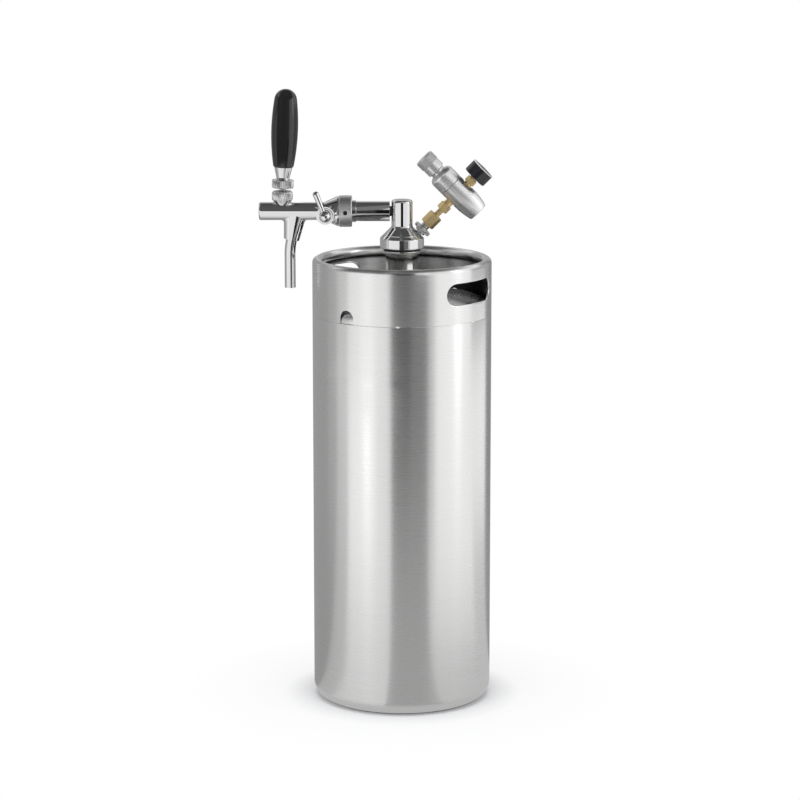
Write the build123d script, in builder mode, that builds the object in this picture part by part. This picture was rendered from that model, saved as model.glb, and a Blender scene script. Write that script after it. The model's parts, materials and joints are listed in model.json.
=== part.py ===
"""Pressurised growler: a stainless mini keg with a screw-on tap head and a gas regulator.

Millimetres, +Z up. The origin is on the keg's axis, on the surface it stands on. The tap
points along -X, the regulator leans out along +X, and the flow lever is on the -Y side.
"""
import os
from math import cos, radians, sin, tan

from build123d import *

os.makedirs("parts", exist_ok=True)

# Shared fits
overrun = 2.0  # how far a cut runs past a face
weld_gap = 0.05  # between pieces that are welded together
thread_gap = 0.1  # radial room in a screw thread
running_gap = 0.05  # radial room of a shaft or a sliding fit
clear_gap = 0.3  # between pieces that only pass each other
hex_half = 30.0  # degrees, half a hexagon's side

# Keg
keg_radius = 90.0
keg_height = 452.0  # floor to the top of the rolled rim
sheet = 1.2
ring_height = 56.0  # seam to the top of the rim
rim_roll = 5.0
rim_curl = 235.0  # degrees of bead
base_corner = 14.0
base_height = 30.0
base_rise = 12.0
foot_width = 7.0
shoulder_skirt = 10.0
shoulder_joggle = 4.0
shoulder_corner = 16.0
shoulder_slope = 6.0  # degrees
slot_azimuth = -37.5  # degrees from +X
slot_length = 71.0
slot_height = 23.5
slot_depth = 27.0  # rim to the middle of a hand slot
notch_width = 17.0
notch_height = 13.5

# Neck and the black ring under the collar
neck_radius = 16.5
neck_bore = 14.5
neck_tail = 3.0  # below the shoulder's weld
lip_rise = 4.5  # rim to the underside of the lip
lip_radius = 19.3
lip_thickness = 3.0
neck_ring_radius = 18.4
neck_ring_height = 2.2
thread_radius = 20.2
thread_length = 4.3

# Head and collar
gasket_thickness = 2.0
gasket_bore = 15.4
flange_radius = 19.9
flange_thickness = 2.7
plug_radius = 18.7
collar_radius = 22.1
collar_height = 9.6
cone_slope = 45.0  # degrees
post_radius = 10.6
post_height = 58.0  # rim to the top of the post
post_round = 2.4
post_cove = 4.0
gallery_inner = 6.6
gallery_outer = 13.2
gallery_depth = 3.0
head_bore = 3.6
dip_tube_radius = 4.75
dip_tube_wall = 0.9
dip_tube_socket = 9.0
dip_tube_lift = 7.0  # above the keg's floor
dip_tube_cut = 30.0  # degrees
seal_wire = 0.9  # radius of an O-ring's section
seal_inset = 3.5

# Tap, measured from the keg's axis along the tap
tap_rise = 46.5  # rim to the tap's axis
shank_start = 12.2
shank_radius = 10.0
shank_bore = 5.0
spigot_radius = 4.2
spigot_bore = 3.0
spigot_depth = 7.0
shank_seal_radius = 5.0
shank_seal_seat = 3.7
step_start = 46.0
step_radius = 11.0
nut_start = 50.0
nut_length = 13.0
nut_radius = 15.8
nut_lip = 2.0
nut_thread = 14.0
spanner_hole = 2.2
spanner_hole_depth = 1.1
spanner_holes = 4
shank_flange = 13.0
shank_flange_thickness = 2.8
washer_thickness = 2.0
washer_bore = 5.6
flare_length = 14.5
flare_radius = 15.0
flare_face = 1.2
faucet_radius = 9.0
faucet_end = 143.0
faucet_round = 2.0
chamber_radius = 7.0
valve_seat = 93.0
valve_bore = 4.6
nose_wall = 5.0

# Spout
branch_start = 106.0
branch_length = 24.0
branch_width = 16.6
branch_drop = 28.5
branch_round = 3.0
outlet_start = 110.6
outlet_radius = 7.8
outlet_lean = 10.0  # degrees
spout_radius = 5.5
spout_wall = 0.9
spout_socket = 9.0
spout_straight = 3.0
spout_bend = 70.0
spout_drop = 77.0  # tap axis to the spout's end

# Lever and handle, measured from the ball along the lever
lever_start = 119.5
ball_rise = 14.5
ball_radius = 5.6
lever_lean = 2.4  # degrees back from upright
finger_radius = 1.3
finger_tip = 1.9
stem_radius = 3.0
stem_length = 27.0
boss_root = 6.2
boss_top = 10.2
boss_rise = 11.5
bonnet_thread = 8.2
bonnet_thread_length = 4.0
friction_height = 2.0
bonnet_radius = 10.5
bonnet_top = 6.1
bonnet_round = 3.0
bonnet_mouth = 4.9
bonnet_flare = 6.2
lock_start = 8.7
lock_height = 8.6
lock_radius = 10.85
lock_round = 1.4
ferrule_height = 12.4
ferrule_bottom = 6.2
ferrule_top = 9.1
ferrule_spigot = 5.0
ferrule_spigot_height = 9.0
grip_height = 78.0
grip_bottom = 10.35
grip_middle = 13.35
grip_shoulder = 11.2
grip_middle_share = 0.45
grip_shoulder_share = 0.88
grip_foot_round = 1.6

# Valve shaft inside the faucet
rod_radius = 2.6
block_radius = 3.6
block_start = 112.5
guide_start = 125.0
guide_end = 135.5
slot_room = 0.6
valve_seal_radius = 6.2
valve_seal_thickness = 3.0
seal_nut_radius = 4.8
seal_nut_thickness = 2.6

# Flow control
flow_start = 76.5
flow_sink = 3.0  # below the tap's axis
flow_boss_radius = 9.0
flow_boss_reach = 13.6
gland_radius = 7.6
gland_head = 1.9
gland_thread = 6.0
gland_floor = 8.4
spindle_radius = 3.0
spindle_end = 5.8
flow_ball = 6.0
flow_ball_gap = 1.0
crank_offset = 1.6
crank_pin = 1.3
crank_reach = 1.0
crank_slot_gap = 0.15
flow_rod_socket = 2.0
flow_rod_length = 27.0
flow_rod_root = 2.4
flow_rod_tip = 3.2
flow_rod_lean = 22.0  # degrees towards the tap's nose
cone_radius = 5.2
cone_body_start = 69.6
cone_body_end = 79.0
cone_tip_start = 50.0
cone_tip = 2.0
guide_disc_length = 2.2
guide_notch = 1.7
guide_notches = 4

# Gas fittings, measured from the cone's face along the gas axis
gas_radius = 16.7  # where the gas axis leaves the cone
gas_hole = 1.6
inlet_root = 2.6
inlet_root_length = 3.4
inlet_foot = 3.2
inlet_foot_length = 1.2
inlet_seat = 5.6
inlet_ring_start = 3.1
inlet_ring_length = 4.0
inlet_ring_radius = 9.2
inlet_ring_round = 1.2
inlet_neck = 4.5
gas_nut_start = 11.4
gas_nut_length = 13.4
gas_nut_flats = 13.0
inlet_end = 17.0
gas_washer_thickness = 0.8
nipple_flange = 4.2
nipple_flange_thickness = 1.8
nipple_radius = 3.0
nipple_hex_start = 32.0
nipple_hex_length = 7.8
nipple_hex_flats = 10.4
nipple_stub = 4.2
port_radius = 3.2
port_depth = 5.0
spot_radius = 6.4
spot_depth = 0.8

# Regulator, measured from the gas axis along the regulator's axis
regulator_reach = 56.5  # cone's face to the regulator's axis
regulator_radius = 12.9
body_start = -10.9
body_end = 27.6
taper_start = 7.0
taper_radius = 10.4
body_edge = 0.8
parting_gap = 0.5
bonnet_start = -30.8
bonnet_neck_end = -28.6
bonnet_full = -23.0
bonnet_neck = 7.6
bonnet_screw_radius = 10.4
bonnet_screw_length = 2.4
spring_room = 8.5
spring_room_start = -25.5
piston_bore = 9.5
piston_bore_end = -3.7
piston_start = -8.0
piston_end = -4.3
piston_seal_wire = 0.8
low_chamber = 5.0
low_chamber_end = 2.0
poppet_hole = 1.7
poppet_stem = 1.1
poppet_radius = 2.5
poppet_room = 3.0
poppet_room_start = 3.5
poppet_start = 4.6
poppet_end = 6.4
pin_holder_start = 7.9
pin_hole = 0.5
needle_radius = 1.2
needle_length = 4.1
needle_point = 2.0
cartridge_thread = 4.76
cartridge_depth = 13.0
cartridge_relief = 5.1
cartridge_relief_length = 3.0
cartridge_seal_radius = 4.2
cartridge_seal_thickness = 1.6
screw_radius = 4.0
spring_seat_radius = 7.9
spring_seat_start = -22.0
spring_seat_thickness = 2.0
spring_mean = 6.2
spring_wire = 0.9
spring_turns = 4
knob_start = -50.0
knob_end = -31.4
knob_radius = 9.9
knob_grip_length = 10.0
knob_step = 0.4
knob_edge = 1.0
knob_skirt = 8.4
knob_skirt_depth = 4.5
knob_cap = 6.0

# Gauge, measured from the regulator's axis along the gas axis
gauge_hex_start = 13.6
gauge_hex_end = 20.0
gauge_hex_flats = 9.6
gauge_stub = 3.8
gauge_back = 21.5
gauge_face = 35.0
gauge_radius = 12.5
gauge_wall = 1.1
gauge_floor = 1.5
gauge_edge = 0.8
gauge_socket_depth = 3.0
dial_level = 30.6
dial_thickness = 0.6
pointer_shaft = 0.7
pointer_level = 0.7  # above the dial
pointer_depth = 2.5  # of its shaft in the arbor
pointer_thickness = 0.5
pointer_hub = 1.9
pointer_length = 8.6
pointer_tail = 3.4
pointer_root = 0.9
pointer_tip = 0.3
pointer_rest = 135.0  # degrees from straight up
lens_seat = 1.6
lens_thickness = 1.4
lens_crown = 1.2
tube_bend = 7.6
tube_radius = 1.2
tube_level = 26.0
tube_sweep = 250.0  # degrees
arbor_radius = 2.2

# Places worked out from the sizes above
seam_z = keg_height - ring_height
lip_z = keg_height + lip_rise
lip_top = lip_z + lip_thickness
collar_z = lip_top + neck_ring_height + clear_gap
neck_top = collar_z + thread_length
flange_z = neck_top + gasket_thickness
flange_top = flange_z + flange_thickness
collar_edge_z = collar_z + collar_height
post_top = keg_height + post_height
tap_z = keg_height + tap_rise


def cone_z(radius):
    """Height of the head's cone at a radius; the collar's chamfer lies on the same cone."""
    return collar_edge_z + (collar_radius - radius) * tan(radians(cone_slope))


def hex_edge(start, end, flats):
    """Outline that turns the corners off a hexagon bar between two places on its axis."""
    corner = flats / 2 / cos(radians(hex_half))
    return (
        (start, 0),
        (start, corner - body_edge),
        (start + body_edge, corner),
        (end - body_edge, corner),
        (end, corner - body_edge),
        (end, 0),
    )


# Working planes of the tap, the lever, the flow control, the gas line and the regulator
tap_side = Plane(origin=(0, 0, tap_z), x_dir=(-1, 0, 0), z_dir=(0, 1, 0))
tap_axis = Axis(tap_side.origin, tap_side.x_dir)
lean = radians(lever_lean)
ball_centre = tap_side.from_local_coords(Vector(lever_start, ball_rise, 0))
lever_side = Plane(origin=ball_centre, x_dir=(-cos(lean), 0, sin(lean)), z_dir=(0, 1, 0))
lever_axis = Axis(lever_side.origin, lever_side.y_dir)
boss_axis = Axis(ball_centre, (0, 0, 1))
boss_side = Plane(origin=ball_centre, x_dir=(-1, 0, 0), z_dir=(0, 1, 0))
flow_centre = tap_side.from_local_coords(Vector(flow_start, -flow_sink, 0))
flow_side = Plane(origin=flow_centre, x_dir=(0, -1, 0), z_dir=(-1, 0, 0))
flow_axis = Axis(flow_centre, flow_side.x_dir)
gas_tilt = radians(cone_slope)
gas_foot = (gas_radius, 0, cone_z(gas_radius))
gas_side = Plane(origin=gas_foot, x_dir=(sin(gas_tilt), 0, cos(gas_tilt)), z_dir=(0, -1, 0))
gas_axis = Axis(gas_side.origin, gas_side.x_dir)
regulator_centre = gas_side.from_local_coords(Vector(regulator_reach, 0, 0))
regulator_side = Plane(origin=regulator_centre, x_dir=-gas_side.y_dir, z_dir=(0, -1, 0))
regulator_axis = Axis(regulator_side.origin, regulator_side.x_dir)
gauge_side = Plane(origin=regulator_centre, x_dir=gas_side.x_dir, z_dir=(0, -1, 0))


def across(side, distance):
    """Plane square to a side plane's axis, a distance along it."""
    return Plane(side.from_local_coords(Vector(distance, 0, 0)), x_dir=side.y_dir, z_dir=side.x_dir)


def finish(piece, name):
    """Label a finished piece and write it."""
    piece.part.label = name
    export_step(piece.part, f"parts/{name}.step")


# Keg wall: a rolled tube between the two pressings
wall_bottom = base_height
wall_top = seam_z - shoulder_skirt
with BuildPart() as keg_wall:
    with BuildSketch(Plane.XY.offset(wall_bottom)):
        Circle(keg_radius)
        Circle(keg_radius - sheet, mode=Mode.SUBTRACT)
    extrude(amount=wall_top - wall_bottom)
finish(keg_wall, "keg_wall")

# Keg bottom: a pressing with a rolled corner, a flat foot and a raised middle
foot_outer = keg_radius - base_corner
foot_inner = foot_outer - foot_width
with BuildPart() as keg_bottom:
    for inset, mode in ((0, Mode.ADD), (sheet, Mode.SUBTRACT)):
        with BuildSketch(Plane.XZ):
            with BuildLine():
                corner_line = CenterArc((foot_outer, base_corner), base_corner - inset, 0, -90)
                dish_line = TangentArc((0, base_rise + inset), (foot_inner, inset), tangent=(1, 0))
                Line(corner_line @ 1, dish_line @ 1)
                Polyline(dish_line @ 0, (0, base_height), (keg_radius - inset, base_height), corner_line @ 0)
            make_face()
        revolve(axis=Axis.Z, mode=mode)
finish(keg_bottom, "keg_bottom")

# Keg shoulder: a shallow dome, stepped in where the carrying ring sits on it
step_x = keg_radius - sheet - weld_gap
corner_x = step_x - shoulder_corner
corner_sweep = 90 - shoulder_slope
slope_rise = tan(radians(shoulder_slope))
slope_drop = sheet / cos(radians(shoulder_slope))
weld_x = neck_radius + weld_gap
corner_end = corner_x + shoulder_corner * cos(radians(corner_sweep))
weld_z = seam_z + shoulder_corner * sin(radians(corner_sweep)) + (corner_end - weld_x) * slope_rise
with BuildPart() as keg_shoulder:
    with BuildSketch(Plane.XZ):
        with BuildLine():
            outer_arc = CenterArc((corner_x, seam_z), shoulder_corner, 0, corner_sweep)
            inner_arc = CenterArc((corner_x, seam_z), shoulder_corner - sheet, 0, corner_sweep)
            Polyline(
                outer_arc @ 0,
                (keg_radius, seam_z),
                (keg_radius, wall_top),
                (keg_radius - sheet, wall_top),
                (keg_radius - sheet, seam_z - shoulder_joggle),
                inner_arc @ 0,
            )
            Polyline(
                outer_arc @ 1, (weld_x, weld_z), (weld_x, weld_z - slope_drop), inner_arc @ 1
            )
        make_face()
    revolve(axis=Axis.Z)
finish(keg_shoulder, "keg_shoulder")

# Carrying ring: rolled rim, two hand slots and two drain notches a quarter turn away
bead_x = keg_radius - rim_roll
bead_z = keg_height - rim_roll
slot_side = Plane(
    origin=(0, 0, keg_height - slot_depth),
    x_dir=(-sin(radians(slot_azimuth)), cos(radians(slot_azimuth)), 0),
    z_dir=(cos(radians(slot_azimuth)), sin(radians(slot_azimuth)), 0),
)
notch_side = Plane(origin=(0, 0, seam_z), x_dir=slot_side.z_dir, z_dir=-slot_side.x_dir)
notch_round = notch_width / 2
with BuildPart() as top_ring:
    with BuildSketch(Plane.XZ):
        with BuildLine():
            ring_line = Line((keg_radius, seam_z), (keg_radius, bead_z))
            CenterArc((bead_x, bead_z), rim_roll, 0, rim_curl)
            offset(amount=sheet, side=Side.LEFT)
        make_face()
    revolve(axis=Axis.Z)
    with BuildSketch(slot_side):
        SlotOverall(slot_length, slot_height)
    extrude(amount=keg_radius + overrun, both=True, mode=Mode.SUBTRACT)
    with BuildSketch(notch_side):
        with Locations((0, notch_height - notch_round)):
            Circle(notch_round)
        with Locations((0, -overrun)):
            Rectangle(
                notch_width,
                notch_height - notch_round + overrun,
                align=(Align.CENTER, Align.MIN),
            )
    extrude(amount=keg_radius + overrun, both=True, mode=Mode.SUBTRACT)
finish(top_ring, "top_ring")

# Neck: a turned tube with a lip, a ring groove and a thread land
with BuildPart() as neck:
    with BuildSketch(Plane.XZ):
        Polygon(
            (neck_bore, weld_z - slope_drop - neck_tail),
            (neck_radius, weld_z - slope_drop - neck_tail),
            (neck_radius, lip_z),
            (lip_radius, lip_z),
            (lip_radius, lip_top),
            (neck_radius, lip_top),
            (neck_radius, collar_z),
            (thread_radius, collar_z),
            (thread_radius, neck_top),
            (neck_bore, neck_top),
        )
    revolve(axis=Axis.Z)
finish(neck, "neck")

# Black ring between the neck's lip and the collar
with BuildPart() as neck_ring:
    with BuildSketch(Plane.XY.offset(lip_top)):
        Circle(neck_ring_radius)
        Circle(neck_radius + weld_gap, mode=Mode.SUBTRACT)
    extrude(amount=neck_ring_height)
finish(neck_ring, "neck_ring")

# Gasket between the neck and the head's flange
with BuildPart() as neck_gasket:
    with BuildSketch(Plane.XY.offset(neck_top)):
        Circle(flange_radius)
        Circle(gasket_bore, mode=Mode.SUBTRACT)
    extrude(amount=gasket_thickness)
finish(neck_gasket, "neck_gasket")

# Union collar: threaded skirt and an inward lip that holds the flange down
collar_mouth = plug_radius + clear_gap
collar_bore = thread_radius + thread_gap
with BuildPart() as screw_collar:
    with BuildSketch(Plane.XZ):
        Polygon(
            (collar_bore, collar_z),
            (collar_radius, collar_z),
            (collar_radius, collar_edge_z),
            (collar_mouth, cone_z(collar_mouth)),
            (collar_mouth, flange_top + clear_gap),
            (collar_bore, flange_top + clear_gap),
        )
    revolve(axis=Axis.Z)
finish(screw_collar, "screw_collar")

# Head: flange, cone and post in one turning, with its liquid and gas ways
socket_top = flange_z + gallery_depth + dip_tube_socket
cove_z = cone_z(post_radius)
dip_bore = dip_tube_radius + running_gap
seal_z = flange_z + gallery_depth + seal_inset
seal_groove = dip_tube_radius + 2 * seal_wire
gas_way = (cone_z(gas_radius) - flange_z - gallery_depth) / cos(gas_tilt)
with BuildPart() as head_body:
    with BuildSketch(Plane.XZ):
        Polygon(
            (0, flange_z),
            (flange_radius, flange_z),
            (flange_radius, flange_top),
            (plug_radius, flange_top),
            (plug_radius, cone_z(plug_radius)),
            (post_radius, cove_z),
            (post_radius, post_top),
            (0, post_top),
        )
    revolve(axis=Axis.Z)
    fillet(head_body.edges().group_by(Axis.Z)[-1], post_round)
    cove_edge = head_body.edges().filter_by_position(Axis.Z, cove_z - post_round, cove_z + post_round)
    fillet(cove_edge, post_cove)
    with BuildSketch(Plane.XZ):
        Polygon(
            (0, flange_z - overrun),
            (dip_bore, flange_z - overrun),
            (dip_bore, seal_z - seal_wire),
            (seal_groove, seal_z - seal_wire),
            (seal_groove, seal_z + seal_wire),
            (dip_bore, seal_z + seal_wire),
            (dip_bore, socket_top),
            (head_bore, socket_top),
            (head_bore, tap_z + head_bore),
            (0, tap_z + head_bore),
        )
        Polygon(
            (gallery_inner, flange_z - overrun),
            (gallery_outer, flange_z - overrun),
            (gallery_outer, flange_z + gallery_depth),
            (gallery_inner, flange_z + gallery_depth),
        )
    revolve(axis=Axis.Z, mode=Mode.SUBTRACT)
    with BuildSketch(tap_side):
        Polygon(
            (0, 0),
            (post_radius + overrun, 0),
            (post_radius + overrun, shank_seal_radius + running_gap),
            (shank_start - shank_seal_seat, shank_seal_radius + running_gap),
            (shank_start - shank_seal_seat, spigot_radius + running_gap),
            (0, spigot_radius + running_gap),
        )
    revolve(axis=tap_axis, mode=Mode.SUBTRACT)
    with BuildSketch(gas_side):
        Polygon(
            (overrun, 0),
            (overrun, inlet_root + thread_gap),
            (-inlet_root_length - thread_gap, inlet_root + thread_gap),
            (-inlet_root_length - thread_gap, gas_hole),
            (-gas_way, gas_hole),
            (-gas_way, 0),
        )
    revolve(axis=gas_axis, mode=Mode.SUBTRACT)
finish(head_body, "head_body")

# Dip tube: reaches the keg's floor, its foot cut on a slant
tube_bottom = base_rise + sheet + dip_tube_lift
with BuildPart() as dip_tube:
    with BuildSketch(Plane.XY.offset(tube_bottom)):
        Circle(dip_tube_radius)
        Circle(dip_tube_radius - dip_tube_wall, mode=Mode.SUBTRACT)
    extrude(amount=socket_top - tube_bottom)
    split(bisect_by=Plane(origin=(-dip_tube_radius, 0, tube_bottom)).rotated((0, -dip_tube_cut, 0)))
finish(dip_tube, "dip_tube")

with BuildPart() as dip_tube_seal:
    with BuildSketch(Plane.XZ):
        with Locations((dip_tube_radius + seal_wire, seal_z)):
            Circle(seal_wire)
    revolve(axis=Axis.Z)
finish(dip_tube_seal, "dip_tube_seal")

# Shank: a polished tube with a spigot into the post and a flange inside the coupling nut
flange_start = nut_start + nut_lip + clear_gap
shank_end = flange_start + shank_flange_thickness
with BuildPart() as shank:
    with BuildSketch(tap_side):
        Polygon(
            (shank_start - spigot_depth, spigot_bore),
            (shank_start - spigot_depth, spigot_radius),
            (shank_start, spigot_radius),
            (shank_start, shank_radius),
            (step_start, shank_radius),
            (step_start, step_radius),
            (flange_start, step_radius),
            (flange_start, shank_flange),
            (shank_end, shank_flange),
            (shank_end, shank_bore),
            (shank_start + spigot_depth, shank_bore),
            (shank_start, spigot_bore),
        )
    revolve(axis=tap_axis)
finish(shank, "shank")

# Black seal between the shank and the post
with BuildPart() as shank_seal:
    with BuildSketch(across(tap_side, shank_start - shank_seal_seat)):
        Circle(shank_seal_radius)
        Circle(spigot_radius + running_gap, mode=Mode.SUBTRACT)
    extrude(amount=shank_seal_seat)
finish(shank_seal, "shank_seal")

# Coupling nut with spanner holes round its rim
nut_end = nut_start + nut_length
with BuildPart() as coupling_nut:
    with BuildSketch(tap_side):
        Polygon(
            (nut_start, step_radius + clear_gap),
            (nut_start, nut_radius - body_edge),
            (nut_start + body_edge, nut_radius),
            (nut_end - body_edge, nut_radius),
            (nut_end, nut_radius - body_edge),
            (nut_end, nut_thread + thread_gap),
            (nut_start + nut_lip, nut_thread + thread_gap),
            (nut_start + nut_lip, step_radius + clear_gap),
        )
    revolve(axis=tap_axis)
    hole_middle = nut_start + nut_length / 2
    for turn in range(spanner_holes):
        hole_angle = radians(360 / spanner_holes * turn)
        hole_out = Vector(0, -cos(hole_angle), sin(hole_angle))
        hole_top = tap_side.from_local_coords(Vector(hole_middle, 0, 0)) + hole_out * nut_radius
        with BuildSketch(Plane(origin=hole_top, z_dir=hole_out)):
            Circle(spanner_hole)
        extrude(amount=spanner_hole_depth, both=True, mode=Mode.SUBTRACT)
finish(coupling_nut, "coupling_nut")

faucet_start = shank_end + washer_thickness
with BuildPart() as coupling_washer:
    with BuildSketch(across(tap_side, shank_end)):
        Circle(shank_flange)
        Circle(washer_bore, mode=Mode.SUBTRACT)
    extrude(amount=washer_thickness)
finish(coupling_washer, "coupling_washer")

# Faucet body: flare, barrel, spout branch, lever boss and flow boss, then its bores
flare_start = nut_end + clear_gap
flare_end = flare_start + flare_length
branch_top = Plane(
    origin=tap_side.from_local_coords(Vector(branch_start, 0, 0)), x_dir=(-1, 0, 0), z_dir=(0, 0, 1)
)
outlet_tilt = radians(outlet_lean)
outlet_dir = Vector(-sin(outlet_tilt), 0, -cos(outlet_tilt))
outlet_across = Vector(-cos(outlet_tilt), 0, sin(outlet_tilt))
outlet_centre = tap_side.from_local_coords(Vector(outlet_start, -branch_drop, 0))
outlet_plane = Plane(origin=outlet_centre, x_dir=outlet_across, z_dir=outlet_dir)
socket_floor_point = outlet_centre - outlet_dir * spout_socket
socket_plane = Plane(origin=socket_floor_point, x_dir=outlet_across, z_dir=outlet_dir)
ball_room = ball_radius + running_gap
boss_floor = boss_rise - ball_rise
thread_top = boss_floor + bonnet_thread_length
finger_angle = radians(lever_lean)
slot_reach = ball_rise * sin(finger_angle) + finger_tip + slot_room
with BuildPart() as faucet_body:
    with BuildSketch(tap_side):
        with BuildLine():
            nose_centre = (faucet_end - faucet_round, faucet_radius - faucet_round)
            nose = CenterArc(nose_centre, faucet_round, 0, 90)
            Polyline(
                nose @ 1,
                (flare_end, faucet_radius),
                (flare_start + flare_face, flare_radius),
                (flare_start, flare_radius),
                (flare_start, nut_thread),
                (faucet_start, nut_thread),
                (faucet_start, 0),
                (faucet_end, 0),
                nose @ 0,
            )
        make_face()
    revolve(axis=tap_axis)
    with BuildSketch(branch_top):
        Ellipse(branch_length / 2, branch_width / 2)
    with BuildSketch(outlet_plane):
        Circle(outlet_radius)
    loft()
    fillet(faucet_body.edges(Select.NEW), branch_round)
    with BuildSketch(boss_side):
        Polygon(
            (0, -ball_rise),
            (boss_root, -ball_rise + boss_root),
            (boss_top, boss_floor),
            (bonnet_thread, boss_floor),
            (bonnet_thread, thread_top),
            (0, thread_top),
        )
    revolve(axis=boss_axis)
    with BuildSketch(Plane(origin=flow_centre, x_dir=(1, 0, 0), z_dir=(0, -1, 0))):
        Circle(flow_boss_radius)
    extrude(amount=flow_boss_reach)
    with BuildSketch(tap_side):
        Polygon(
            (faucet_start - overrun, 0),
            (faucet_start - overrun, chamber_radius),
            (valve_seat, chamber_radius),
            (valve_seat, valve_bore),
            (faucet_end - nose_wall, valve_bore),
            (faucet_end - nose_wall, 0),
        )
    revolve(axis=tap_axis, mode=Mode.SUBTRACT)
    with BuildSketch(socket_plane):
        Circle(spout_radius + running_gap)
    extrude(amount=spout_socket + overrun, mode=Mode.SUBTRACT)
    with BuildSketch(socket_plane):
        Circle(spout_radius - spout_wall)
    extrude(amount=spout_socket - branch_drop, mode=Mode.SUBTRACT)
    with BuildSketch(boss_side):
        with BuildLine():
            room_arc = CenterArc((0, 0), ball_room, -90, 90)
            Polyline(
                room_arc @ 1,
                (ball_room, thread_top + overrun),
                (0, thread_top + overrun),
                room_arc @ 0,
            )
        make_face()
    revolve(axis=boss_axis, mode=Mode.SUBTRACT)
    with BuildSketch(Plane(origin=ball_centre, x_dir=(-1, 0, 0), z_dir=(0, 0, -1))):
        with Locations((slot_reach, 0)):
            Rectangle(
                slot_reach + ball_room,
                2 * (finger_tip + slot_room),
                align=(Align.MAX, Align.CENTER),
            )
    extrude(amount=ball_rise, mode=Mode.SUBTRACT)
    with BuildSketch(flow_side):
        Polygon(
            (0, 0),
            (0, spindle_radius + running_gap),
            (gland_floor, spindle_radius + running_gap),
            (gland_floor, gland_thread + thread_gap),
            (flow_boss_reach + overrun, gland_thread + thread_gap),
            (flow_boss_reach + overrun, 0),
        )
    revolve(axis=flow_axis, mode=Mode.SUBTRACT)
finish(faucet_body, "faucet_body")

# Spout: a bent tube from its socket in the branch to the pouring end
with BuildPart() as spout_tube:
    with BuildLine(tap_side):
        straight = Line(socket_floor_point, outlet_centre + outlet_dir * spout_straight)
        bend = JernArc(straight @ 1, outlet_dir, spout_bend, -outlet_lean)
        bend_end = bend @ 1
        Line(bend_end, Vector(bend_end.X, 0, tap_z - spout_drop))
    with BuildSketch(socket_plane):
        Circle(spout_radius)
        Circle(spout_radius - spout_wall, mode=Mode.SUBTRACT)
    sweep()
finish(spout_tube, "spout_tube")

# Valve shaft: rod, slotted block and guide land
slot_middle = lever_start + ball_rise * sin(finger_angle)
with BuildPart() as valve_shaft:
    with BuildSketch(tap_side):
        Polygon(
            (valve_seat - valve_seal_thickness - seal_nut_thickness, 0),
            (valve_seat - valve_seal_thickness - seal_nut_thickness, rod_radius),
            (block_start, rod_radius),
            (block_start, block_radius),
            (guide_start, block_radius),
            (guide_start, valve_bore - running_gap),
            (guide_end, valve_bore - running_gap),
            (guide_end, 0),
        )
    revolve(axis=tap_axis)
    with BuildSketch(tap_side.offset(-finger_tip - slot_room)):
        with Locations((slot_middle, -finger_tip - slot_room)):
            Rectangle(2 * (finger_tip + slot_room), ball_rise, align=(Align.CENTER, Align.MIN))
    extrude(amount=2 * (finger_tip + slot_room), mode=Mode.SUBTRACT)
finish(valve_shaft, "valve_shaft")

with BuildPart() as valve_seal:
    with BuildSketch(across(tap_side, valve_seat - valve_seal_thickness)):
        Circle(valve_seal_radius)
        Circle(rod_radius + running_gap, mode=Mode.SUBTRACT)
    extrude(amount=valve_seal_thickness)
finish(valve_seal, "valve_seal")

with BuildPart() as seal_nut:
    with BuildSketch(across(tap_side, valve_seat - valve_seal_thickness - seal_nut_thickness)):
        RegularPolygon(seal_nut_radius, 6)
        Circle(rod_radius + running_gap, mode=Mode.SUBTRACT)
    extrude(amount=seal_nut_thickness)
finish(seal_nut, "seal_nut")

# Lever: ball, stem and the finger that moves the shaft
with BuildPart() as lever:
    with BuildSketch(lever_side):
        with BuildLine():
            ball_arc = CenterArc((0, 0), ball_radius, -90, 180)
            Line(ball_arc @ 0, ball_arc @ 1)
        make_face()
        with BuildLine():
            tip_arc = CenterArc((0, -ball_rise), finger_tip, -90, 180)
            Line(tip_arc @ 0, tip_arc @ 1)
        make_face()
        Polygon((0, 0), (finger_radius, 0), (finger_radius, -ball_rise), (0, -ball_rise))
        Polygon((0, 0), (stem_radius, 0), (stem_radius, stem_length), (0, stem_length))
    revolve(axis=lever_axis)
finish(lever, "lever")

# Friction ring that holds the ball down, and the bonnet nut over it
ring_floor = thread_top
ring_roof = ring_floor + friction_height
with BuildPart() as friction_ring:
    with BuildSketch(boss_side):
        Polygon((0, ring_floor), (bonnet_thread, ring_floor), (bonnet_thread, ring_roof), (0, ring_roof))
    revolve(axis=boss_axis)
    with BuildSketch(boss_side):
        with BuildLine():
            room_line = CenterArc((0, 0), ball_room, -90, 180)
            Line(room_line @ 0, room_line @ 1)
        make_face()
    revolve(axis=boss_axis, mode=Mode.SUBTRACT)
finish(friction_ring, "friction_ring")

with BuildPart() as bonnet_nut:
    with BuildSketch(boss_side):
        with BuildLine():
            crown_centre = (bonnet_radius - bonnet_round, bonnet_top - bonnet_round)
            crown = CenterArc(crown_centre, bonnet_round, 0, 90)
            Polyline(
                crown @ 1,
                (bonnet_flare, bonnet_top),
                (bonnet_mouth, ring_roof),
                (bonnet_thread + thread_gap, ring_roof),
                (bonnet_thread + thread_gap, boss_floor),
                (bonnet_radius, boss_floor),
                crown @ 0,
            )
        make_face()
    revolve(axis=boss_axis)
finish(bonnet_nut, "bonnet_nut")

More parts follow.
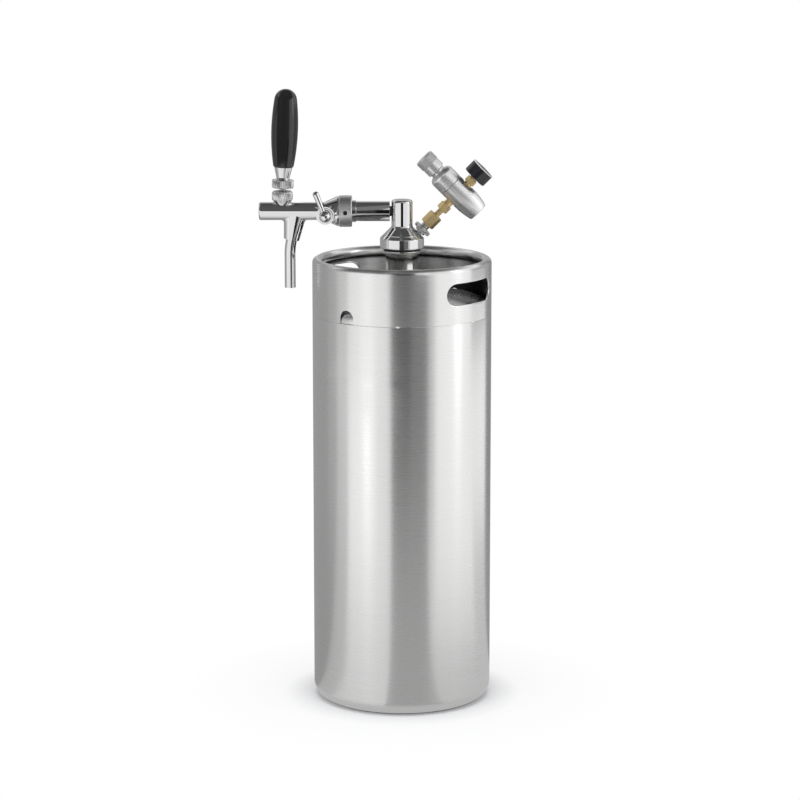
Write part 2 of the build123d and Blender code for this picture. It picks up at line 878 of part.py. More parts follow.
# Handle: lock nut, ferrule and grip on the lever's stem
lock_top = lock_start + lock_height
stem_bore = stem_radius + thread_gap
with BuildPart() as lock_nut:
    with BuildSketch(lever_side):
        Polygon(
            (stem_bore, lock_start),
            (lock_radius - lock_round, lock_start),
            (lock_radius, lock_start + lock_round),
            (lock_radius, lock_top - lock_round),
            (lock_radius - lock_round, lock_top),
            (stem_bore, lock_top),
        )
    revolve(axis=lever_axis)
finish(lock_nut, "lock_nut")

ferrule_z = lock_top + ferrule_height
with BuildPart() as ferrule:
    with BuildSketch(lever_side):
        Polygon(
            (0, stem_length + thread_gap),
            (stem_bore, stem_length + thread_gap),
            (stem_bore, lock_top),
            (ferrule_bottom, lock_top),
            (ferrule_top, ferrule_z),
            (ferrule_spigot, ferrule_z),
            (ferrule_spigot, ferrule_z + ferrule_spigot_height),
            (0, ferrule_z + ferrule_spigot_height),
        )
    revolve(axis=lever_axis)
finish(ferrule, "ferrule")

grip_top = ferrule_z + grip_height
grip_shoulder_z = ferrule_z + grip_height * grip_shoulder_share
with BuildPart() as grip:
    with BuildSketch(lever_side):
        with BuildLine():
            foot = CenterArc(
                (grip_bottom - grip_foot_round, ferrule_z + grip_foot_round), grip_foot_round, -90, 90
            )
            side = ThreePointArc(
                foot @ 1,
                (grip_middle, ferrule_z + grip_height * grip_middle_share),
                (grip_shoulder, grip_shoulder_z),
            )
            dome = Spline(side @ 1, (0, grip_top), tangents=(side % 1, (-1, 0)))
            Polyline(
                dome @ 1,
                (0, ferrule_z + ferrule_spigot_height + clear_gap),
                (ferrule_spigot + weld_gap, ferrule_z + ferrule_spigot_height + clear_gap),
                (ferrule_spigot + weld_gap, ferrule_z),
                foot @ 0,
            )
        make_face()
    revolve(axis=lever_axis)
finish(grip, "grip")

# Flow control: gland, seal, spindle with its crank pin, lever rod and throttle cone
gland_end = flow_boss_reach + gland_head
flow_seal_end = gland_floor + 2 * seal_wire
spindle_bore = spindle_radius + running_gap
ball_reach = gland_end + flow_ball_gap + flow_rod_tip
dish_floor = ball_reach - flow_ball - clear_gap
dish_mouth = flow_ball - clear_gap
with BuildPart() as flow_gland:
    with BuildSketch(flow_side):
        Polygon(
            (flow_seal_end, spindle_bore),
            (flow_seal_end, gland_thread),
            (flow_boss_reach, gland_thread),
            (flow_boss_reach, gland_radius),
            (gland_end, gland_radius),
            (gland_end, dish_mouth),
            (dish_floor, spindle_bore),
        )
    revolve(axis=flow_axis)
finish(flow_gland, "flow_gland")

with BuildPart() as flow_seal:
    with BuildSketch(flow_side):
        with Locations((gland_floor + seal_wire, spindle_bore + seal_wire)):
            Circle(seal_wire)
    revolve(axis=flow_axis)
finish(flow_seal, "flow_seal")

rod_tilt = radians(flow_rod_lean)
rod_dir = Vector(-sin(rod_tilt), 0, cos(rod_tilt))
flow_ball_centre = flow_side.from_local_coords(Vector(ball_reach, 0, 0))
rod_side = Plane(origin=flow_ball_centre, x_dir=rod_dir, z_dir=(0, -1, 0))
rod_axis = Axis(flow_ball_centre, rod_dir)
crank_end = flow_centre + Vector(0, crank_reach, crank_offset)
with BuildPart() as flow_spindle:
    with BuildSketch(flow_side):
        Polygon(
            (spindle_end, 0),
            (spindle_end, spindle_radius),
            (ball_reach, spindle_radius),
            (ball_reach, 0),
        )
        with BuildLine():
            ball_line = CenterArc((ball_reach, 0), flow_ball, 0, 180)
            Line(ball_line @ 0, ball_line @ 1)
        make_face()
    revolve(axis=flow_axis)
    with BuildSketch(Plane(origin=crank_end, x_dir=(1, 0, 0), z_dir=(0, -1, 0))):
        Circle(crank_pin)
    extrude(amount=crank_reach + spindle_end)
    with BuildSketch(across(rod_side, flow_rod_socket)):
        Circle(flow_rod_root + weld_gap)
    extrude(amount=flow_ball, mode=Mode.SUBTRACT)
finish(flow_spindle, "flow_spindle")

with BuildPart() as flow_lever:
    with BuildSketch(rod_side):
        with BuildLine():
            rod_tip = CenterArc((flow_rod_length - flow_rod_tip, 0), flow_rod_tip, 0, 90)
            Polyline(
                rod_tip @ 1,
                (flow_ball, flow_rod_root),
                (flow_rod_socket, flow_rod_root),
                (flow_rod_socket, 0),
                rod_tip @ 0,
            )
        make_face()
    revolve(axis=rod_axis)
finish(flow_lever, "flow_lever")

crank_slot = 2 * (crank_pin + crank_slot_gap)
with BuildPart() as flow_cone:
    with BuildSketch(tap_side):
        Polygon(
            (cone_tip_start, 0),
            (cone_tip_start, cone_tip),
            (cone_body_start, cone_radius),
            (cone_body_end, cone_radius),
            (cone_body_end, 0),
        )
    revolve(axis=tap_axis)
    with BuildSketch(across(tap_side, cone_body_start)):
        Circle(chamber_radius - running_gap)
        with PolarLocations(chamber_radius, guide_notches):
            Circle(guide_notch, mode=Mode.SUBTRACT)
    extrude(amount=guide_disc_length)
    with BuildSketch(Plane(origin=crank_end + Vector(0, clear_gap, 0), x_dir=(1, 0, 0), z_dir=(0, -1, 0))):
        with Locations((0, -crank_offset / 2)):
            SlotOverall(crank_slot + crank_offset, crank_slot, rotation=90)
    extrude(amount=chamber_radius + overrun, mode=Mode.SUBTRACT)
finish(flow_cone, "flow_cone")

# Gas inlet: threaded root, knurled ring and the spigot that the gas nut screws on
ring_end = inlet_ring_start + inlet_ring_length
ring_flat = inlet_ring_radius - inlet_ring_round
with BuildPart() as gas_inlet:
    with BuildSketch(gas_side):
        with BuildLine():
            ring_back = CenterArc((inlet_ring_start + inlet_ring_round, ring_flat), inlet_ring_round, 90, 90)
            ring_front = CenterArc((ring_end - inlet_ring_round, ring_flat), inlet_ring_round, 0, 90)
            Line(ring_front @ 1, ring_back @ 0)
            Polyline(
                ring_back @ 1,
                (inlet_ring_start, inlet_seat),
                (inlet_foot_length, inlet_seat),
                (inlet_foot_length, inlet_foot),
                (0, inlet_foot),
                (0, inlet_root),
                (-inlet_root_length, inlet_root),
                (-inlet_root_length, gas_hole),
                (inlet_end, gas_hole),
                (inlet_end, inlet_neck),
                (ring_end, inlet_neck),
                ring_front @ 0,
            )
        make_face()
    revolve(axis=gas_axis)
finish(gas_inlet, "gas_inlet")

with BuildPart() as gas_washer:
    with BuildSketch(across(gas_side, inlet_end)):
        Circle(inlet_neck)
        Circle(gas_hole, mode=Mode.SUBTRACT)
    extrude(amount=gas_washer_thickness)
finish(gas_washer, "gas_washer")

# Brass gas nut, chamfered at both ends, with a shoulder behind the nipple's flange
gas_nut_end = gas_nut_start + gas_nut_length
nipple_start = inlet_end + gas_washer_thickness
nipple_shoulder = nipple_start + nipple_flange_thickness
with BuildPart() as gas_nut:
    with BuildSketch(across(gas_side, gas_nut_start)):
        RegularPolygon(gas_nut_flats / 2, 6, major_radius=False)
    extrude(amount=gas_nut_length)
    with BuildSketch(gas_side):
        Polygon(*hex_edge(gas_nut_start, gas_nut_end, gas_nut_flats))
    revolve(axis=gas_axis, mode=Mode.INTERSECT)
    with BuildSketch(gas_side):
        Polygon(
            (gas_nut_start - overrun, 0),
            (gas_nut_start - overrun, inlet_neck + thread_gap),
            (nipple_shoulder, inlet_neck + thread_gap),
            (nipple_shoulder, nipple_radius + thread_gap),
            (gas_nut_end + overrun, nipple_radius + thread_gap),
            (gas_nut_end + overrun, 0),
        )
    revolve(axis=gas_axis, mode=Mode.SUBTRACT)
finish(gas_nut, "gas_nut")

# Brass nipple: flange, stem, small hexagon and the thread in the regulator's port
nipple_hex_end = nipple_hex_start + nipple_hex_length
spot_face = regulator_radius - spot_depth
port_floor = spot_face - port_depth
with BuildPart() as gas_nipple:
    with BuildSketch(across(gas_side, nipple_hex_start)):
        RegularPolygon(nipple_hex_flats / 2, 6, major_radius=False)
    extrude(amount=nipple_hex_length)
    with BuildSketch(gas_side):
        Polygon(*hex_edge(nipple_hex_start, nipple_hex_end, nipple_hex_flats))
    revolve(axis=gas_axis, mode=Mode.INTERSECT)
    with BuildSketch(gas_side):
        Polygon(
            (nipple_start, 0),
            (nipple_start, nipple_flange),
            (nipple_shoulder, nipple_flange),
            (nipple_shoulder, nipple_radius),
            (nipple_hex_end, nipple_radius),
            (nipple_hex_end, nipple_stub),
            (regulator_reach - spot_face, nipple_stub),
            (regulator_reach - spot_face, port_radius),
            (regulator_reach - port_floor, port_radius),
            (regulator_reach - port_floor, 0),
        )
    revolve(axis=gas_axis)
    with BuildSketch(across(gas_side, nipple_start - overrun)):
        Circle(gas_hole)
    extrude(amount=regulator_reach, mode=Mode.SUBTRACT)
finish(gas_nipple, "gas_nipple")

# Regulator body: turned outside with a curved taper, ports, piston bore and cartridge socket
screw_room_end = body_start + parting_gap + bonnet_screw_length
socket_floor = body_end - cartridge_depth
pin_end = socket_floor - cartridge_seal_thickness
with BuildPart() as regulator_body:
    with BuildSketch(regulator_side):
        with BuildLine():
            taper_end = (body_end - body_edge, taper_radius)
            taper = TangentArc((taper_start, regulator_radius), taper_end, tangent=(1, 0))
            Polyline(
                taper @ 1,
                (body_end, taper_radius - body_edge),
                (body_end, 0),
                (body_start, 0),
                (body_start, regulator_radius - parting_gap),
                (body_start + parting_gap, regulator_radius),
                taper @ 0,
            )
        make_face()
    revolve(axis=regulator_axis)
    with BuildSketch(regulator_side):
        Polygon(
            (body_start - overrun, 0),
            (body_start - overrun, bonnet_screw_radius + thread_gap),
            (screw_room_end, bonnet_screw_radius + thread_gap),
            (screw_room_end, piston_bore),
            (piston_bore_end, piston_bore),
            (piston_bore_end, low_chamber),
            (low_chamber_end, low_chamber),
            (low_chamber_end, poppet_hole),
            (poppet_room_start, poppet_hole),
            (poppet_room_start, poppet_room),
            (pin_end, poppet_room),
            (pin_end, cartridge_seal_radius + weld_gap),
            (socket_floor, cartridge_seal_radius + weld_gap),
            (socket_floor, cartridge_relief),
            (socket_floor + cartridge_relief_length, cartridge_relief),
            (socket_floor + cartridge_relief_length, cartridge_thread),
            (body_end + overrun, cartridge_thread),
            (body_end + overrun, 0),
        )
    revolve(axis=regulator_axis, mode=Mode.SUBTRACT)
    for port_side in (1, -1):
        port_dir = gauge_side.x_dir * port_side
        with BuildSketch(Plane(origin=regulator_centre + port_dir * spot_face, z_dir=port_dir)):
            Circle(spot_radius)
        extrude(amount=regulator_radius, mode=Mode.SUBTRACT)
        with BuildSketch(Plane(origin=regulator_centre + port_dir * port_floor, z_dir=port_dir)):
            Circle(port_radius + running_gap)
        extrude(amount=regulator_radius, mode=Mode.SUBTRACT)
        with BuildSketch(Plane(origin=regulator_centre, z_dir=port_dir)):
            Circle(gas_hole)
        extrude(amount=regulator_radius, mode=Mode.SUBTRACT)
finish(regulator_body, "regulator_body")

# Regulator bonnet: rounded shoulder, threaded neck and spring room
bonnet_end = body_start - parting_gap
with BuildPart() as regulator_bonnet:
    with BuildSketch(regulator_side):
        with BuildLine():
            shoulder_end = (bonnet_neck_end, bonnet_neck)
            shoulder_arc = TangentArc((bonnet_full, regulator_radius), shoulder_end, tangent=(-1, 0))
            Polyline(
                shoulder_arc @ 0,
                (bonnet_end, regulator_radius),
                (bonnet_end, bonnet_screw_radius),
                (bonnet_end + bonnet_screw_length, bonnet_screw_radius),
                (bonnet_end + bonnet_screw_length, spring_room),
                (spring_room_start, spring_room),
                (spring_room_start, screw_radius + thread_gap),
                (bonnet_start, screw_radius + thread_gap),
                (bonnet_start, bonnet_neck),
                shoulder_arc @ 1,
            )
        make_face()
    revolve(axis=regulator_axis)
finish(regulator_bonnet, "regulator_bonnet")

# Piston with its ring, and the poppet that it pushes off the high-pressure seat
groove_floor = piston_bore - 2 * piston_seal_wire
piston_middle = (piston_start + piston_end) / 2
with BuildPart() as piston:
    with BuildSketch(regulator_side):
        Polygon(
            (piston_start, 0),
            (piston_start, piston_bore - running_gap),
            (piston_middle - piston_seal_wire, piston_bore - running_gap),
            (piston_middle - piston_seal_wire, groove_floor - running_gap),
            (piston_middle + piston_seal_wire, groove_floor - running_gap),
            (piston_middle + piston_seal_wire, piston_bore - running_gap),
            (piston_end, piston_bore - running_gap),
            (piston_end, 0),
        )
    revolve(axis=regulator_axis)
finish(piston, "piston")

with BuildPart() as piston_seal:
    with BuildSketch(regulator_side):
        with Locations((piston_middle, piston_bore - running_gap - piston_seal_wire)):
            Circle(piston_seal_wire)
    revolve(axis=regulator_axis)
finish(piston_seal, "piston_seal")

with BuildPart() as valve_poppet:
    with BuildSketch(regulator_side):
        Polygon(
            (piston_end, 0),
            (piston_end, poppet_stem),
            (poppet_start, poppet_stem),
            (poppet_start, poppet_radius),
            (poppet_end, poppet_radius),
            (poppet_end, 0),
        )
    revolve(axis=regulator_axis)
finish(valve_poppet, "valve_poppet")

# Main spring between the piston and the seat on the adjusting screw
seat_end = spring_seat_start + spring_seat_thickness
spring_start = seat_end + spring_wire
spring_length = piston_start - spring_wire - spring_start
spring_pitch = spring_length / spring_turns
with BuildPart() as main_spring:
    with BuildLine():
        coil = Helix(
            pitch=spring_pitch,
            height=spring_length,
            radius=spring_mean,
            center=regulator_side.from_local_coords(Vector(spring_start, 0, 0)),
            direction=regulator_side.x_dir,
        )
    with BuildSketch(Plane(origin=coil @ 0, z_dir=coil % 0)):
        Circle(spring_wire)
    sweep(is_frenet=True)
finish(main_spring, "main_spring")

with BuildPart() as spring_seat:
    with BuildSketch(across(regulator_side, spring_seat_start)):
        Circle(spring_seat_radius)
    extrude(amount=spring_seat_thickness)
finish(spring_seat, "spring_seat")

# Adjusting screw and the knob on it
screw_top = knob_start + knob_cap
with BuildPart() as adjust_screw:
    with BuildSketch(across(regulator_side, screw_top + weld_gap)):
        Circle(screw_radius)
    extrude(amount=spring_seat_start - screw_top - weld_gap)
finish(adjust_screw, "adjust_screw")

knob_grip_end = knob_start + knob_grip_length
knob_plain = knob_radius - knob_step
skirt_floor = knob_end - knob_skirt_depth
with BuildPart() as knob:
    with BuildSketch(regulator_side):
        Polygon(
            (knob_start, 0),
            (knob_start, knob_radius - knob_edge),
            (knob_start + knob_edge, knob_radius),
            (knob_grip_end - knob_step, knob_radius),
            (knob_grip_end, knob_plain),
            (knob_end - knob_step, knob_plain),
            (knob_end, knob_plain - knob_step),
            (knob_end, knob_skirt),
            (skirt_floor, knob_skirt),
            (skirt_floor, screw_radius + weld_gap),
            (screw_top, screw_radius + weld_gap),
            (screw_top, 0),
        )
    revolve(axis=regulator_axis)
finish(knob, "knob")

# Hollow piercing pin and the cartridge's seal at the floor of the socket
with BuildPart() as piercing_pin:
    with BuildSketch(regulator_side):
        Polygon(
            (pin_holder_start, 0),
            (pin_holder_start, poppet_room - weld_gap),
            (pin_end, poppet_room - weld_gap),
            (pin_end, needle_radius),
            (pin_end + needle_length - needle_point, needle_radius),
            (pin_end + needle_length, 0),
        )
    revolve(axis=regulator_axis)
    with BuildSketch(across(regulator_side, pin_holder_start)):
        Circle(pin_hole)
    extrude(amount=body_end, mode=Mode.SUBTRACT)
finish(piercing_pin, "piercing_pin")

with BuildPart() as cartridge_seal:
    with BuildSketch(across(regulator_side, pin_end)):
        Circle(cartridge_seal_radius)
        Circle(needle_radius + weld_gap, mode=Mode.SUBTRACT)
    extrude(amount=cartridge_seal_thickness)
finish(cartridge_seal, "cartridge_seal")

# Gauge: brass stem, black case, pressure tube, dial, pointer and lens
socket_end = gauge_back + gauge_socket_depth
with BuildPart() as gauge_stem:
    with BuildSketch(across(gauge_side, gauge_hex_start)):
        RegularPolygon(gauge_hex_flats / 2, 6, major_radius=False)
    extrude(amount=gauge_hex_end - gauge_hex_start)
    with BuildSketch(gauge_side):
        Polygon(*hex_edge(gauge_hex_start, gauge_hex_end, gauge_hex_flats))
    revolve(axis=gas_axis, mode=Mode.INTERSECT)
    with BuildSketch(gauge_side):
        Polygon(
            (port_floor, 0),
            (port_floor, port_radius),
            (spot_face, port_radius),
            (spot_face, gauge_stub),
            (socket_end, gauge_stub),
            (socket_end, 0),
        )
    revolve(axis=gas_axis)
    with BuildSketch(across(gauge_side, port_floor - overrun)):
        Circle(gas_hole)
    extrude(amount=socket_end - port_floor, mode=Mode.SUBTRACT)
finish(gauge_stem, "gauge_stem")

case_floor = gauge_back + gauge_floor
dial_top = dial_level + dial_thickness
lens_radius = gauge_radius - gauge_wall / 2
lens_floor = gauge_face - lens_seat
lens_roof = lens_floor + lens_thickness
case_room = gauge_radius - gauge_wall
with BuildPart() as gauge_case:
    with BuildSketch(gauge_side):
        Polygon(
            (gauge_back, gauge_stub + weld_gap),
            (gauge_back, gauge_radius - gauge_edge),
            (gauge_back + gauge_edge, gauge_radius),
            (gauge_face, gauge_radius),
            (gauge_face, lens_radius + weld_gap),
            (lens_floor, lens_radius + weld_gap),
            (lens_floor, case_room),
            (dial_level, case_room),
            (dial_level, case_room - gauge_wall),
            (case_floor, case_room - gauge_wall),
            (case_floor, gauge_stub + weld_gap),
        )
    revolve(axis=gas_axis)
finish(gauge_case, "gauge_case")

shaft_bore = pointer_shaft + running_gap
with BuildPart() as gauge_dial:
    with BuildSketch(across(gauge_side, dial_level)):
        Circle(case_room - weld_gap)
        Circle(shaft_bore, mode=Mode.SUBTRACT)
    extrude(amount=dial_thickness)
finish(gauge_dial, "gauge_dial")

# Movement: the pointer's arbor post on the stem, and a C-shaped pressure tube on its arm
with BuildPart() as gauge_movement:
    with BuildLine(across(gauge_side, tube_level)):
        bow = CenterArc((0, 0), tube_bend, -tube_sweep / 2, tube_sweep)
    with BuildSketch(Plane(origin=bow @ 0, z_dir=bow % 0)):
        Circle(tube_radius)
    sweep()
    with BuildSketch(across(gauge_side, socket_end)):
        Circle(arbor_radius)
    extrude(amount=dial_level - socket_end)
    with BuildSketch(across(gauge_side, tube_level - tube_radius / 2)):
        with Locations((tube_bend / 2, 0)):
            Rectangle(tube_bend, tube_radius)
    extrude(amount=tube_radius)
    with BuildSketch(across(gauge_side, dial_level)):
        Circle(shaft_bore)
    extrude(amount=-pointer_depth - clear_gap, mode=Mode.SUBTRACT)
finish(gauge_movement, "gauge_movement")

pointer_floor = dial_top + pointer_level
pointer_turn = radians(pointer_rest)
pointer_dir = gauge_side.y_dir * cos(pointer_turn) + gauge_side.z_dir * sin(pointer_turn)
pointer_centre = gauge_side.from_local_coords(Vector(pointer_floor, 0, 0))
with BuildPart() as gauge_needle:
    with BuildSketch(Plane(origin=pointer_centre, x_dir=pointer_dir, z_dir=gauge_side.x_dir)):
        Circle(pointer_hub)
        Polygon(
            (-pointer_tail, -pointer_root),
            (pointer_length, -pointer_tip),
            (pointer_length, pointer_tip),
            (-pointer_tail, pointer_root),
        )
    extrude(amount=pointer_thickness)
    with BuildSketch(across(gauge_side, dial_level - pointer_depth)):
        Circle(pointer_shaft)
    extrude(amount=pointer_floor - dial_level + pointer_depth)
finish(gauge_needle, "gauge_needle")

with BuildPart() as gauge_lens:
    with BuildSketch(gauge_side):
        with BuildLine():
            crown_line = TangentArc(
                (lens_roof + lens_crown, 0), (lens_roof, lens_radius), tangent=(0, 1)
            )
            Polyline(crown_line @ 1, (lens_floor, lens_radius), (lens_floor, 0), crown_line @ 0)
        make_face()
    revolve(axis=gas_axis)
finish(gauge_lens, "gauge_lens")
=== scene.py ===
# %% [markdown]
# A pressurised growler is a small stainless keg with a tap head screwed on its neck: a lever faucet
# on one side, a small gas regulator on the other. The solids come from the imported model. This
# script dresses them: it lights a white studio, gives each metal its own finish and eases the sharp
# edges. It also makes what is too fine for the solids: the rounded crown of the grip, the beads round
# the hand slots, weld tacks, knurls, a thread and the marks on the dial. The spring in the regulator
# is cut in two.

# %% Load the frame
import json
from math import asin, atan2, cos, degrees, hypot, pi, radians, sin, tan

import bmesh
import bpy
from mathutils import Matrix, Vector


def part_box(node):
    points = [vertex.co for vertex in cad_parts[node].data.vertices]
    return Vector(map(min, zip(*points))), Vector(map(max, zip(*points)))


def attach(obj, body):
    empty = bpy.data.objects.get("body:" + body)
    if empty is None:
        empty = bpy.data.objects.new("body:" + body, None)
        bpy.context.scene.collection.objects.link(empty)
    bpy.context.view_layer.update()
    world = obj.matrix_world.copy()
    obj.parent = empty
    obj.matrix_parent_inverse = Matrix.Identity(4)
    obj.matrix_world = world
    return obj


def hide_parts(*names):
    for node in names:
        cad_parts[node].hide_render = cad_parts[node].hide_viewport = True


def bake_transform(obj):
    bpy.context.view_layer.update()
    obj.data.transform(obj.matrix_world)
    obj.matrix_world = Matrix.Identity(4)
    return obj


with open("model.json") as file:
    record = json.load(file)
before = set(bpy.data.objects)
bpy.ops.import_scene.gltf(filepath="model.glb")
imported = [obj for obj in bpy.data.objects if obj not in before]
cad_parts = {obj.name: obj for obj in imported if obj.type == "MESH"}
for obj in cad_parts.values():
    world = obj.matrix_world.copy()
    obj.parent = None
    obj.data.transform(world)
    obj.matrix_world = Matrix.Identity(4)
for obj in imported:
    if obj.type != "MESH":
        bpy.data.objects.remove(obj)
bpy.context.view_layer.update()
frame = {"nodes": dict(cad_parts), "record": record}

nodes = frame["nodes"]
mm = 0.001
merge_reach = mm / 1000

# %% [markdown]
# Three axes carry the small pieces: the handle leans a little on the lever's ball, the gas line
# climbs at 45 degrees from the head, and the regulator lies square across that line. The points are
# in millimetres, as on a drawing.

# %% Axes
slope = cos(radians(45))
lever_tilt = radians(2.4)
ball_centre = (-119.5, 0, 513)
lever_along = (sin(lever_tilt), 0, cos(lever_tilt))
gas_start = (16.7, 0, 477)
gas_along = (slope, 0, slope)
regulator_centre = (56.652, 0, 516.952)
regulator_along = (slope, 0, -slope)
print("axes ready")

# %% [markdown]
# The photograph looks straight at the side of the tap from a little above. A long lens keeps the
# keg's sides nearly parallel. The camera is aimed with a quaternion that points its -Z axis at
# the middle of the object.

# %% Camera
scene = bpy.context.scene
scene.view_settings.view_transform = "Standard"
camera = bpy.data.objects.new("camera", bpy.data.cameras.new("camera"))
scene.collection.objects.link(camera)
camera.location = (0.0, -3.0, 0.9)
camera_target = Vector((-0.002, 0.0, 0.306))
camera.rotation_mode = "QUATERNION"
camera.rotation_quaternion = (camera_target - camera.location).to_track_quat("-Z", "Y")
camera.data.sensor_width = 36.0
camera.data.lens = 136.0
scene.camera = camera
print("camera", tuple(camera.location))

# %% [markdown]
# A material is a small tree of nodes. A few short helpers keep the rest readable: they link two
# sockets, add a node, run a value through a colour ramp, and do one sum on numbers or on vectors.
# A sum takes a plain number or vector, or the socket of another node. One keeps only the X and Y
# of a place, for its distance from the upright axis, and one says the same number three times, for
# a grey or an even scale. The last turns an edited mesh into mesh data.

# %% Helpers
def even(value):
    return (value, value, value)


def link(tree, start, end):
    tree.links.new(start, end)


def add_node(tree, kind, **values):
    node = tree.nodes.new(kind)
    for name, value in values.items():
        setattr(node, name, value)
    return node


def ramp(tree, source, stops):
    node = add_node(tree, "ShaderNodeValToRGB")
    points = node.color_ramp.elements
    while len(points) < len(stops):
        points.new(0.5)
    for point, (place, level) in zip(points, stops):
        point.position = place
        point.color = (*level, 1.0) if isinstance(level, tuple) else (*even(level), 1.0)
    link(tree, source, node.inputs["Fac"])
    return node.outputs["Color"]


def sum_node(tree, kind, operation, *values):
    node = add_node(tree, kind, operation=operation)
    for socket, value in zip(node.inputs, values):
        if isinstance(value, (int, float, tuple)):
            socket.default_value = value
        else:
            link(tree, value, socket)
    return node.outputs


def math_node(tree, operation, *values):
    return sum_node(tree, "ShaderNodeMath", operation, *values)["Value"]


def vector_node(tree, operation, *values):
    return sum_node(tree, "ShaderNodeVectorMath", operation, *values)


def flat_part(tree, place):
    return vector_node(tree, "MULTIPLY", place, (1.0, 1.0, 0.0))["Vector"]


def mesh_from(name, bm):
    mesh = bpy.data.meshes.new(name)
    bm.to_mesh(mesh)
    bm.free()
    return mesh


print("helpers ready")

# %% [markdown]
# The backdrop is pure white. The world shows white to the camera and to mirror and glass rays, and
# a calmer grey to the rays that light matt surfaces, so white paper does not burn out.

# %% Studio world
room_level = 0.5
world = bpy.data.worlds.new("studio")
scene.world = world
world.use_nodes = True
tree = world.node_tree
tree.nodes.clear()
ray = add_node(tree, "ShaderNodeLightPath")
seen = math_node(tree, "MAXIMUM", ray.outputs["Is Camera Ray"], ray.outputs["Is Glossy Ray"])
seen = math_node(tree, "MAXIMUM", seen, ray.outputs["Is Transmission Ray"])
room_light = add_node(tree, "ShaderNodeBackground")
room_light.inputs["Color"].default_value = (*even(room_level), 1.0)
plain_white = add_node(tree, "ShaderNodeBackground")
plain_white.inputs["Color"].default_value = (*even(1.0), 1.0)
shown = add_node(tree, "ShaderNodeMixShader")
link(tree, seen, shown.inputs["Fac"])
link(tree, room_light.outputs["Background"], shown.inputs[1])
link(tree, plain_white.outputs["Background"], shown.inputs[2])
world_out = add_node(tree, "ShaderNodeOutputWorld")
link(tree, shown.outputs["Shader"], world_out.inputs["Surface"])
print("studio world with", len(tree.nodes), "nodes")

# %% [markdown]
# The floor is a broad white sheet. Close to the keg it is ordinary diffuse white, which catches the
# soft shadow. Further out it glows by itself more and more, so it melts into the background.

# %% Floor
floor_reach = 6.0
glow_reach = 0.9
glow_shares = [(0.1, 0.0), (0.135, 0.78), (0.26, 1.0)]
paper_white = (0.9, 0.905, 0.92)
bm = bmesh.new()
bmesh.ops.create_grid(bm, x_segments=1, y_segments=1, size=floor_reach)
floor = bpy.data.objects.new("floor", mesh_from("floor", bm))
scene.collection.objects.link(floor)
floor_finish = bpy.data.materials.new("white_floor")
floor_finish.use_nodes = True
tree = floor_finish.node_tree
tree.nodes.clear()
paper = add_node(tree, "ShaderNodeBsdfDiffuse")
paper.inputs["Color"].default_value = (*paper_white, 1.0)
glow = add_node(tree, "ShaderNodeEmission")
glow.inputs["Color"].default_value = (*even(1.0), 1.0)
blend = add_node(tree, "ShaderNodeMixShader")
spot = add_node(tree, "ShaderNodeTexCoord")
far = vector_node(tree, "LENGTH", spot.outputs["Object"])["Value"]
far_share = math_node(tree, "DIVIDE", far, glow_reach)
link(tree, ramp(tree, far_share, glow_shares), blend.inputs["Fac"])
link(tree, paper.outputs["BSDF"], blend.inputs[1])
link(tree, glow.outputs["Emission"], blend.inputs[2])
floor_out = add_node(tree, "ShaderNodeOutputMaterial")
link(tree, blend.outputs["Shader"], floor_out.inputs["Surface"])
floor.data.materials.append(floor_finish)
print("floor", floor_reach * 2, "m wide")

# %% [markdown]
# The light comes from soft boxes. A large one overhead gives the soft shadow and is kept out of the
# reflections. A narrow one on each side shows on the brushed steel as a bright upright line.

# %% Lamps
def soft_box(name, place, aim, width, tall, power, sparkle):
    lamp = bpy.data.lights.new(name, "AREA")
    lamp.shape = "RECTANGLE"
    lamp.size = width
    lamp.size_y = tall
    lamp.energy = power
    holder = bpy.data.objects.new(name, lamp)
    scene.collection.objects.link(holder)
    holder.location = place
    holder.rotation_mode = "QUATERNION"
    holder.rotation_quaternion = (Vector(aim) - Vector(place)).to_track_quat("-Z", "Y")
    holder.visible_camera = False
    holder.visible_glossy = sparkle


soft_box("overhead_box", place=(-0.05, -0.5, 2.4), aim=(0, 0, 0.2), width=1.8, tall=1.8,
         power=34.0, sparkle=False)
soft_box("left_box", place=(-1.5, -1.5, 1.1), aim=(0, 0, 0.4), width=0.3, tall=1.2,
         power=3.0, sparkle=True)
soft_box("right_box", place=(1.95, -0.5, 1.1), aim=(0, 0, 0.4), width=0.3, tall=1.2,
         power=2.1, sparkle=True)

# %% [markdown]
# Polished metal has no colour of its own: it shows the room. In an all-white room it would vanish,
# so a photographer stands dark and grey cards around it, and white ones where a bright line is
# wanted. A standing or lying card is a line spun part of the way round an axis. A soft card is a
# disc that fades out towards its edge, for places where a hard edge would show. Only mirror rays
# see the cards, so they cast no shadow.

# %% Card makers
standing_steps, lying_steps, disc_points = 24, 36, 48
fade_shares = [(0.4, 0.0), (1.0, 1.0)]
cards = []


def card_finish(name, level, fade):
    finish = bpy.data.materials.new(name)
    finish.use_nodes = True
    tree = finish.node_tree
    tree.nodes.clear()
    light = add_node(tree, "ShaderNodeEmission")
    light.inputs["Color"].default_value = (*even(level), 1.0)
    shown = light.outputs["Emission"]
    if fade:
        spot = add_node(tree, "ShaderNodeTexCoord")
        flat = flat_part(tree, spot.outputs["Object"])
        out_share = math_node(tree, "DIVIDE", vector_node(tree, "LENGTH", flat)["Value"], fade)
        nothing = add_node(tree, "ShaderNodeBsdfTransparent")
        soft_edge = add_node(tree, "ShaderNodeMixShader")
        link(tree, ramp(tree, out_share, fade_shares), soft_edge.inputs["Fac"])
        link(tree, shown, soft_edge.inputs[1])
        link(tree, nothing.outputs["BSDF"], soft_edge.inputs[2])
        shown = soft_edge.outputs["Shader"]
    out = add_node(tree, "ShaderNodeOutputMaterial")
    link(tree, shown, out.inputs["Surface"])
    return finish


